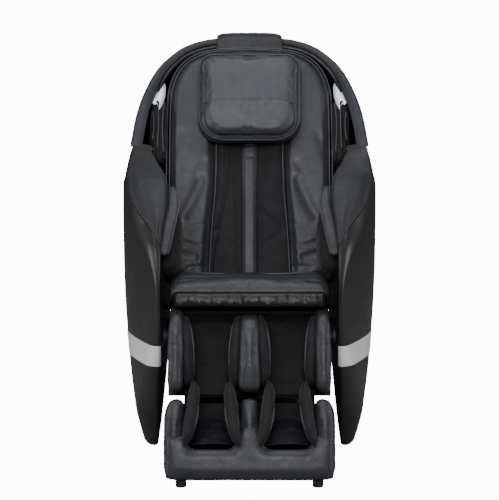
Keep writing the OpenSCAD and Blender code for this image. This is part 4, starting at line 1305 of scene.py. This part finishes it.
def hand_pads():
    """Lined hand openings inside the arms: a pale stitched flap under the armrest's edge, over an air pad."""
    strap = [(0.2205, -0.232, 0.778, 0.007), (0.2165, -0.250, 0.764, 0.0120), (0.2140, -0.270, 0.745, 0.0145),
             (0.2145, -0.297, 0.722, 0.0158), (0.2190, -0.324, 0.698, 0.0158), (0.2235, -0.350, 0.672, 0.0152),
             (0.2285, -0.374, 0.645, 0.0142), (0.2325, -0.393, 0.622, 0.0125), (0.2345, -0.400, 0.610, 0.0100),
             (0.2355, -0.402, 0.604, 0.0060)]
    pad = [(-0.352, 0.566), (-0.325, 0.541), (-0.24, 0.537), (-0.185, 0.541), (-0.152, 0.572), (-0.150, 0.640),
           (-0.168, 0.700), (-0.215, 0.716), (-0.290, 0.668), (-0.338, 0.610)]
    for s, side in SIDES:
        ring = side_ring(pad, 7, 0.008)
        across = [(s * x, k) for x, k in ((0.264, 0.86), (0.260, 0.97), (0.235, 1.0), (0.216, 0.97), (0.204, 0.88),
                                          (0.198, 0.70), (0.196, 0.3))]
        ob = refine(pad_on_wall("hand_pad_" + side + "_cover", ring, across, world_point, 0.0055, 0.006,
                                grain=0.0022, size=0.045))
        cushion(ob, "fabric_dark", "seat", "stretch_fabric", 0.7, "hand_pad_" + side)
        path = resample(spline([(s * x, y, z) for x, y, z, w in strap], 8), 0.006)
        widths = [(-z, w) for x, y, z, w in strap]
        edges, sections = ([], []), []
        for i, p in enumerate(path):
            along = (path[min(i + 1, len(path) - 1)] - path[max(i - 1, 0)]).normalized()
            across = Vector((s, 0, 0))
            across = (across - along * across.dot(along)).normalized()
            down = along.cross(across)
            if down.y > 0:
                down = -down
            w = table(widths, -p.z)
            thick = min(0.0075, w * 0.6)
            sections.append([p + across * u + down * v for u, v in rounded(-w, w, -thick, thick, 3.2, 24)])
            for row, at in zip(edges, (-0.97, 0.66)):
                row.append(p + across * (w * at) + down * (thick * (0.35 if at < 0 else 0.97)))
        ob = refine(loft("hand_flap_" + side + "_cover", sections))
        shape(ob, lambda co, n: co + n * (0.0012 * rough(co, 0.05, 4)))
        cushion(ob, "pale", "seat", "leather", 0.6, "hand_flap_" + side)
        piping("hand_flap_piping_" + side, edges[0][3:-1], 0.0022, "seat")
        row = [a.lerp(b, 0.30) + Vector((0, -0.0040, 0.0018)) for a, b in zip(*edges)]
        sewing("hand_flap_stitches_" + side, [row[5:-3]], "seat", r=0.0006)


# ---- Leg rest ----------------------------------------------------------------------------
CALF_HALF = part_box("calf_shell")[1].x
CALF_IN = 0.185
CALF_LO = -0.163
LEG_FRONT = -0.085
WELL_BACK = 0.022
DIVIDER = 0.024


def padded_wall(name, x0, x1, outline, to, edge=0.006, cap=0.004):
    """An upholstered wall between two x planes with a side outline of (depth, height)."""
    ring = resample([Vector((0, p[0], p[1])) for p in outline], 0.009)
    if (ring[-1] - ring[0]).length < 0.004:
        ring.pop()
    mid = sum(ring, Vector()) / len(ring)
    rows = []
    m = len(ring)
    for a in (0.0, 0.04, 0.16, 0.5, 0.84, 0.96, 1.0):
        pull = edge * (1 - math.sin(math.pi * a) ** 0.4) if 0 < a < 1 else edge * 1.6
        row = []
        for i in range(m):
            t = (ring[(i + 2) % m] - ring[i - 2]).normalized()
            n = Vector((0, -t.z, t.y))
            if n.dot(mid - ring[i]) < 0:
                n = -n
            q = ring[i] + n * pull
            row.append(to(lerp(x0, x1, a), q.y, q.z))
        rows.append(row)
    return puff(loft(name, rows), voxel=0.005, pressure=4.0, cap=cap, frames=10)


def calf_taper(z):
    """How much wider the divider is at a height of the leg rest's frame than at its top."""
    return 1 + 0.16 * ease((-0.04 - z) / 0.12)


def calf_section():
    """The calf section: side walls and a divider in padded leather, and a fabric back."""
    top = [(LEG_FRONT * math.cos(math.radians(a)), -LEG_FRONT * math.sin(math.radians(a)))
           for a in range(0, 91, 9)]
    outline = [(0.044, CALF_LO + 0.002), (-0.060, CALF_LO + 0.001), (-0.078, CALF_LO + 0.012),
               (-0.083, CALF_LO + 0.03), (LEG_FRONT, -0.06)] + top + [(0.046, 0.081), (0.048, 0.06), (0.048, -0.08)]
    outline.append(outline[0])
    for k, s in enumerate((-1, 1)):
        ob = padded_wall("calf_side_" + ("left" if s < 0 else "right"), s * CALF_IN, s * (CALF_HALF - 0.0015),
                         outline, on_leg)
        refine(shape(ob, lambda co, n: co + n * (0.0012 * rough(co, 0.05, 4))))
        cushion(ob, "leather", "legrest", "leather", 0.9, *first(k == 0, "calf_shell"))
    outline = [(WELL_BACK + 0.006, CALF_LO + 0.004), (-0.058, CALF_LO + 0.002), (-0.076, CALF_LO + 0.012),
               (LEG_FRONT, -0.10), (LEG_FRONT, -0.02), (-0.082, 0.012), (-0.066, 0.040), (-0.040, 0.058),
               (0.0, 0.066), (WELL_BACK + 0.006, 0.060)]
    outline.append(outline[0])
    middle = padded_wall("calf_divider", -DIVIDER, DIVIDER, outline, on_leg, edge=0.007)

    def widen(co, n):
        wide = calf_taper((co - LEG).dot(LEG_UP))
        return Vector((co.x * wide, co.y, co.z)) + n * (0.0006 * rough(co, 0.07, 3))
    refine(shape(middle, widen))
    cushion(middle, "leather", "legrest", "leather", 0.9)

    def back_cloth(u, v):
        x = lerp(-CALF_IN - 0.004, CALF_IN + 0.004, u)
        rise = table([(0, CALF_LO + 0.001), (0.72, 0.010), (0.84, 0.042), (0.93, 0.060), (1, 0.068)], v)
        depth = table([(0, WELL_BACK), (0.60, WELL_BACK), (0.72, 0.020), (0.84, 0.010), (0.93, -0.008),
                       (1, -0.028)], v)
        swell = 0.006 * abs(math.sin(math.pi * clamp((abs(x) - DIVIDER) / (CALF_IN - DIVIDER)))) ** 0.7
        ripple = 0.0022 * rough(Vector((x * 1.3, 0, rise * 2)), 0.05, 4)
        return on_leg(x, depth - swell - ripple, rise)
    cloth = sheet_of("calf_well_cloth", back_cloth, 64, 56, thick=0.009, bevel=0.003)
    # the well cloth's near-black colour is partly the black cloth and partly painted shade at the back of the
    # recess
    cushion(cloth, "well", "legrest", "stretch_fabric", 0.5)
    board = sheet_of("calf_back_board", lambda u, v: on_leg(lerp(-0.216, 0.216, u), 0.048,
                     lerp(CALF_LO + 0.002, 0.018, v)), 12, 8, thick=0.010, offset=1.0, bevel=0.003)
    finish(board, "case", "legrest", "leather")
    piping("calf_lower_welt", [on_leg(x / 100, WELL_BACK + 0.010, CALF_LO - 0.0002) for x in range(-18, 19, 2)],
           0.0026, "legrest")
    rows = []
    for s in (-1, 1):
        for x, tapers in ((CALF_IN + 0.0062, False), (CALF_HALF - 0.0075, False), (DIVIDER - 0.0055, True)):
            rows.append([on_leg(s * x * (calf_taper(z / 1000) if tapers else 1), LEG_FRONT - 0.0006, z / 1000)
                         for z in range(-140, 5, 5)])
    sewing("calf_stitches", rows, "legrest", r=0.0006)
    calf_pads()


CALF_LEAF = [(-0.036, 0.058), (-0.058, 0.030), (-0.070, -0.030), (-0.072, -0.085), (-0.058, -0.134),
             (-0.020, -0.140), (0.004, -0.112), (0.008, -0.040), (0.000, 0.030)]
PAD_RISE = [(0.0, 0.94), (0.003, 1.0), (0.011, 0.96), (0.020, 0.84), (0.027, 0.62), (0.030, 0.2)]


def wall_places(inner, outer):
    """(side name, sign, wall x, direction) for the four walls of a pair of wells."""
    return [("%s_%s" % ("left" if s < 0 else "right", kind), s, x, out)
            for s in (-1, 1) for x, out, kind in ((outer, -1, "outer"), (inner, 1, "inner"))]


def calf_pads():
    """Leaf-shaped air pads on the walls of the calf wells, each with a welt along its middle."""
    ring = side_ring(CALF_LEAF, 8, 0.008)
    for k, (side, s, wall_x, out) in enumerate(wall_places(DIVIDER, CALF_IN)):
        across = [(s * (wall_x + out * a), scale) for a, scale in PAD_RISE]
        lean = lambda z, s=s, out=out: s * out * 0.008 * ease((-z - 0.01) / 0.14)
        ob = pad_on_wall("calf_pad_" + side, ring, across, on_leg, 0.0045, 0.003, 10, lean=lean)
        cushion(ob, "fabric_dark", "legrest", "stretch_fabric", 0.7, *first(k == 0, "calf_pads"))
        run = []
        for i in range(11):
            t = i / 10
            z = lerp(0.050, -0.132, t)
            bulge = 0.006 + 0.0245 * math.sin(math.pi * lerp(0.04, 0.96, t)) ** 0.7
            run.append(on_leg(s * (wall_x + out * bulge) + lean(z), -0.040 - 0.016 * math.sin(math.pi * t), z))
        piping("calf_pad_piping_" + side, spline(run, 6), 0.0018, "legrest", "stretch_fabric")


# ---- Foot section ------------------------------------------------------------------------
FOOT_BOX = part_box("foot_shell")
FOOT_HALF = FOOT_BOX[1].x
FOOT_IN = 0.180
FOOT_HI = -0.177
FOOT_BACK = 0.060
LIP_Z = 0.104
FOOT_DIV = 0.025


def leg_y(z, depth):
    """The world y of a depth in the leg rest's frame, at a world height."""
    up = (z - LEG.z - LEG_IN.z * depth) / LEG_UP.z
    return (LEG + LEG_IN * depth + LEG_UP * up).y


def lip_rise(x):
    """How far the front lip rises towards the divider and towards the side walls."""
    return (0.058 * bell(max(0.0, abs(x) - 0.012), 0.021)
            + 0.034 * bell(max(0.0, FOOT_IN + 0.004 - abs(x)), 0.016))


def foot_wall_outline(z_lo):
    top_front, top_back = on_leg(0, LEG_FRONT, FOOT_HI), on_leg(0, FOOT_BACK, FOOT_HI)
    front = lambda z: leg_y(z, LEG_FRONT)
    at = lambda t: (lerp(top_front.y, top_back.y, t), lerp(top_front.z, top_back.z, t))
    pts = [(leg_y(z_lo, FOOT_BACK), z_lo), (front(z_lo) + 0.030, z_lo), (front(z_lo + 0.016) + 0.006, z_lo + 0.014)]
    pts += [(front(z) + 0.007 * clamp((0.135 - z) / 0.03), z) for z in (0.06, 0.10, 0.13, 0.15, 0.19)]
    pts += [(at(0.03)[0], top_front.z - 0.010), at(0.12), at(0.5), at(0.96), (leg_y(0.15, FOOT_BACK), 0.15)]
    return pts + [pts[0]]


def foot_section():
    """The foot section: side walls, a divider that flares into the front lip, and two foot wells."""
    z0 = FOOT_BOX[0].z
    front = lambda z: leg_y(z, LEG_FRONT)
    pieces = []
    for s, side in SIDES:
        ob = padded_wall("foot_side_" + side, s * FOOT_IN, s * (FOOT_HALF - 0.002), foot_wall_outline(z0),
                         world_point, edge=0.009, cap=0.005)

        def bow(co, n, s=s):
            taper = 0.008 * ease((co.z - 0.17) / 0.06) * clamp((abs(co.x) - FOOT_IN) / 0.04)
            return Vector((co.x - s * taper, co.y, co.z)) + n * (0.0006 * rough(co, 0.07, 3))
        pieces.append(refine(shape(ob, bow)))

    def lip_section(x):
        top = LIP_Z + lip_rise(x)
        return [(leg_y(z0, FOOT_BACK), z0), (front(z0) + 0.032, z0), (front(z0 + 0.010) + 0.009, z0 + 0.009),
                (front(0.045) + 0.001, 0.045), (front(0.075), 0.075), (front(top - 0.020), top - 0.020),
                (front(top - 0.006) + 0.003, top - 0.006), (front(top) + 0.011, top),
                (front(top) + 0.021, top - 0.005), (front(top) + 0.026, top - 0.018), (-0.545, z0 + 0.030),
                (-0.45, z0 + 0.030),
                (leg_y(z0 + 0.02, FOOT_BACK), z0 + 0.026)]
    rows = []
    for k in range(73):
        x = (FOOT_HALF - 0.002) * (2 * k / 72 - 1)
        tuck = 0.010 * clamp((abs(x) - FOOT_HALF + 0.020) / 0.018) ** 2
        rows.append([Vector((x, p.x + tuck * clamp((-0.50 - p.x) / 0.04), p.y))
                     for p in flat_spline(lip_section(x), 4, closed=True)])
    lip = puff(loft("foot_lip", rows), voxel=0.0055, pressure=3.0, cap=0.003, frames=10)
    pieces.append(refine(shape(lip, lambda co, n: co + n * (0.0006 * rough(co, 0.08, 3)))))
    ob = padded_wall("foot_divider", -FOOT_DIV, FOOT_DIV, foot_wall_outline(z0 + 0.03), world_point, edge=0.008,
                     cap=0.004)

    def flare(co, n):
        wide = lerp(0.86, 1.12, ease((0.20 - co.z) / 0.10))
        return Vector((co.x * wide, co.y + 0.002, co.z)) + n * (0.0006 * rough(co, 0.07, 3))
    pieces.append(refine(shape(ob, flare)))

    def back_wall(u, v):
        x = lerp(-FOOT_IN - 0.004, FOOT_IN + 0.004, u)
        z = lerp(0.060, on_leg(0, FOOT_BACK - 0.026, FOOT_HI).z - 0.004, v)
        return Vector((x, leg_y(z, FOOT_BACK - 0.026) - 0.004 * rough(Vector((x, 0, z)), 0.08, 3), z))
    rear = sheet_of("foot_back_wall", back_wall, 50, 26, thick=0.020, bevel=0.004)
    # the well cloth's near-black colour is partly the black cloth and partly painted shade at the back of the foot
    # wells
    cushion(rear, "well", "footrest", "stretch_fabric", 0.5)
    for k, ob in enumerate(pieces):
        cushion(ob, "leather", "footrest", "leather", 0.9, *first(k == 0, "foot_shell"))
    rows = []
    for s in (-1, 1):
        for off in (0.0, 0.0075):
            row = []
            for k in range(61):
                x = lerp(FOOT_DIV * 0.55, FOOT_IN - 0.004, k / 60)
                z = LIP_Z + lip_rise(x) - 0.014 - off
                row.append(Vector((s * x, front(z) - 0.0012, z)))
            rows.append(row)
        for x, z_from, count in ((FOOT_HALF - 0.011, 0.05, 29), (FOOT_IN + 0.008, 0.13, 14)):
            rows.append([Vector((s * x, front(z_from + 0.005 * k) - 0.0006, z_from + 0.005 * k))
                         for k in range(count)])
    sewing("foot_stitches", rows, "footrest", pitch=0.0064, length=0.0044, r=0.0006)
    soles()
    foot_pads()


def soles():
    """A raised sole cover with a rounded top in each foot well."""
    heel = Vector((-0.428, 0.143))
    toe = Vector((leg_y(LIP_Z, LEG_FRONT) + 0.018, LIP_Z + 0.002))
    for k, s in enumerate((-1, 1)):
        cx = s * (FOOT_DIV + FOOT_IN) / 2

        def cover(u, v, cx=cx):
            half = 0.070 - 0.012 * v
            end = 0.70
            if v > end:
                half *= 0.12 + 0.88 * math.sqrt(max(0.0, 1 - ((v - end) / (1 - end)) ** 2))
            x = cx + (2 * u - 1) * half
            crown = 0.007 * (1 - abs(2 * u - 1) ** 2.6) + 0.0012 * rough(Vector((x, v * 0.2, 0)), 0.05, 3)
            p = toe.lerp(heel, v)
            return Vector((x, p.x - 0.002, p.y + crown + 0.004))
        ob = sheet_of("sole_cover_" + ("left" if s < 0 else "right"), cover, 26, 60, thick=0.008, bevel=0.002)
        cushion(ob, "sole", "footrest", "sole_leather", 0.8, *first(k == 0, "sole_plates"))


FOOT_LEAF = [(0.02, 0.276), (-0.022, 0.258), (-0.050, 0.205), (-0.066, 0.160), (-0.062, 0.128), (-0.020, 0.118),
             (0.030, 0.124), (0.058, 0.150), (0.064, 0.200), (0.050, 0.244)]


def foot_pads():
    """Leaf-shaped air pads on the walls of the foot wells, with a wavy welt along each."""
    tip_z, rake = 0.262, 0.27
    ring = resample([Vector((0, -0.492 + p.x - rake * (tip_z - p.y), p.y - 0.004))
                     for p in flat_spline(FOOT_LEAF, 7, closed=True)], 0.008)
    for k, (side, s, wall_x, out) in enumerate(wall_places(FOOT_DIV, FOOT_IN)):
        across = [(s * (wall_x + out * a), scale) for a, scale in PAD_RISE]
        lean = lambda z, s=s, out=out: s * out * 0.020 * clamp((z - 0.125) / 0.13) ** 1.3
        ob = pad_on_wall("foot_pad_" + side, ring, across, world_point, 0.0045, 0.003, 10, lean=lean)
        cushion(ob, "fabric_dark", "footrest", "stretch_fabric", 0.7, *first(k == 0, "foot_pads"))
        path = []
        for i in range(9):
            t = i / 8
            z = lerp(0.246, 0.132, t)
            bulge = 0.008 + 0.0235 * math.sin(math.pi * lerp(0.05, 0.95, t)) ** 0.7
            path.append(Vector((s * (wall_x + out * bulge) + lean(z),
                                -0.484 - 0.060 * t ** 0.8 - rake * (tip_z - z), z)))
        piping("foot_pad_piping_" + side, spline(path, 6), 0.0022, "footrest", "stretch_fabric")


# ---- The stage ---------------------------------------------------------------------------
def stage():
    bpy.ops.mesh.primitive_plane_add(size=14, location=(0, 0, FLOOR))
    floor = bpy.context.object
    floor.name = "floor"
    m, nodes, links, shader = material("floor_white", (0.86, 0.86, 0.86), 0.6)
    shader.inputs["Emission Color"].default_value = (1, 1, 1, 1)
    seen = nodes.new("ShaderNodeLightPath")
    links.new(spread(nodes, links, seen.outputs["Is Camera Ray"], 0.0, 13.0, 0.0, 1.0),
              shader.inputs["Emission Strength"])
    tint = noise_of(nodes, links, 2.0)
    links.new(colours(nodes, links, tint, (0.28, 0.28, 0.28), (0.31, 0.31, 0.31)), shader.inputs["Base Color"])
    floor.data.materials.append(m)


def light(name, place, aim, size, power, size_y=None):
    data = bpy.data.lights.new(name, "AREA")
    data.shape = "RECTANGLE"
    data.size, data.size_y = size, size_y or size
    data.energy = power
    ob = new_object(name, data)
    ob.location = place
    ob.rotation_euler = (Vector(aim) - Vector(place)).to_track_quat("-Z", "Y").to_euler()


LENS_MM = 100.7
CAMERA_AT = (0, -4.2, 1.198)
CAMERA_DOWN = 8.63       # degrees below level


def camera_and_lights():
    cam = bpy.data.cameras.new("camera")
    cam.lens, cam.sensor_width, cam.sensor_fit = LENS_MM, 36.0, "AUTO"
    ob = new_object("camera", cam)
    ob.location = CAMERA_AT
    ob.rotation_euler = (math.radians(90 - CAMERA_DOWN), 0, 0)
    bpy.context.scene.camera = ob
    light("front", (0.0, -4.9, 2.9), (0, 0, 0.7), 2.4, 170, 1.6)
    light("key", (-1.6, -3.0, 3.2), (0, 0, 0.7), 1.4, 45)
    light("top", (0.0, -0.5, 3.6), (0, 0.1, 0.7), 1.8, 56)
    light("fill_right", (3.0, -0.9, 1.4), (0, 0, 0.7), 1.0, 42, 2.0)
    light("fill_left", (-3.0, -0.9, 1.4), (0, 0, 0.7), 1.0, 42, 2.0)
    light("rear", (0.6, 3.4, 2.6), (0, 0, 0.7), 1.8, 12)
    world = bpy.data.worlds.new("studio")
    world.use_nodes = True
    nodes, links = world.node_tree.nodes, world.node_tree.links
    background = nodes["Background"]
    background.inputs["Color"].default_value = (1, 1, 1, 1)
    seen = nodes.new("ShaderNodeLightPath")
    links.new(spread(nodes, links, seen.outputs["Is Camera Ray"], 0.06, 13.0, 0.0, 1.0),
              background.inputs["Strength"])
    bpy.context.scene.world = world


NODE_FINISH = {
    "base_frame": "steel", "base_feet": "rubber", "control_box": "case", "air_pump": "pump", "valve_block": "case",
    "power_inlet": "case", "tilt_actuator": "steel", "wheel_left": "rubber", "wheel_right": "rubber",
    "rocker_switch": "case", "tilt_rod": "rod", "seat_frame": "steel", "seat_pan": "case", "pivot_pins": "steel",
    "recline_actuator": "steel", "legrest_actuator": "steel", "recline_rod": "rod", "legrest_rod": "rod",
    "back_frame": "steel", "guide_rods": "rod", "lead_screw": "rod", "massage_carriage": "steel",
    "massage_motor": "pump", "knead_head_left": "roller", "knead_head_right": "roller",
    "legrest_frame": "steel", "foot_tubes": "steel", "foot_glides": "rubber",
}

camera_and_lights()
stage()
hood()
hood_rim()
arms()
back_wings()
fabric_bands()
centre_strip()
pillow()
pillow_flap()
shoulder_pads()
speakers()
seat()
seat_skirt()
hand_pads()
calf_section()
foot_section()
for node_name, ob in frame["nodes"].items():
    if node_name in NODE_FINISH:
        for slot_index in range(len(ob.material_slots)):
            ob.material_slots[slot_index].material = MAT[NODE_FINISH[node_name]]
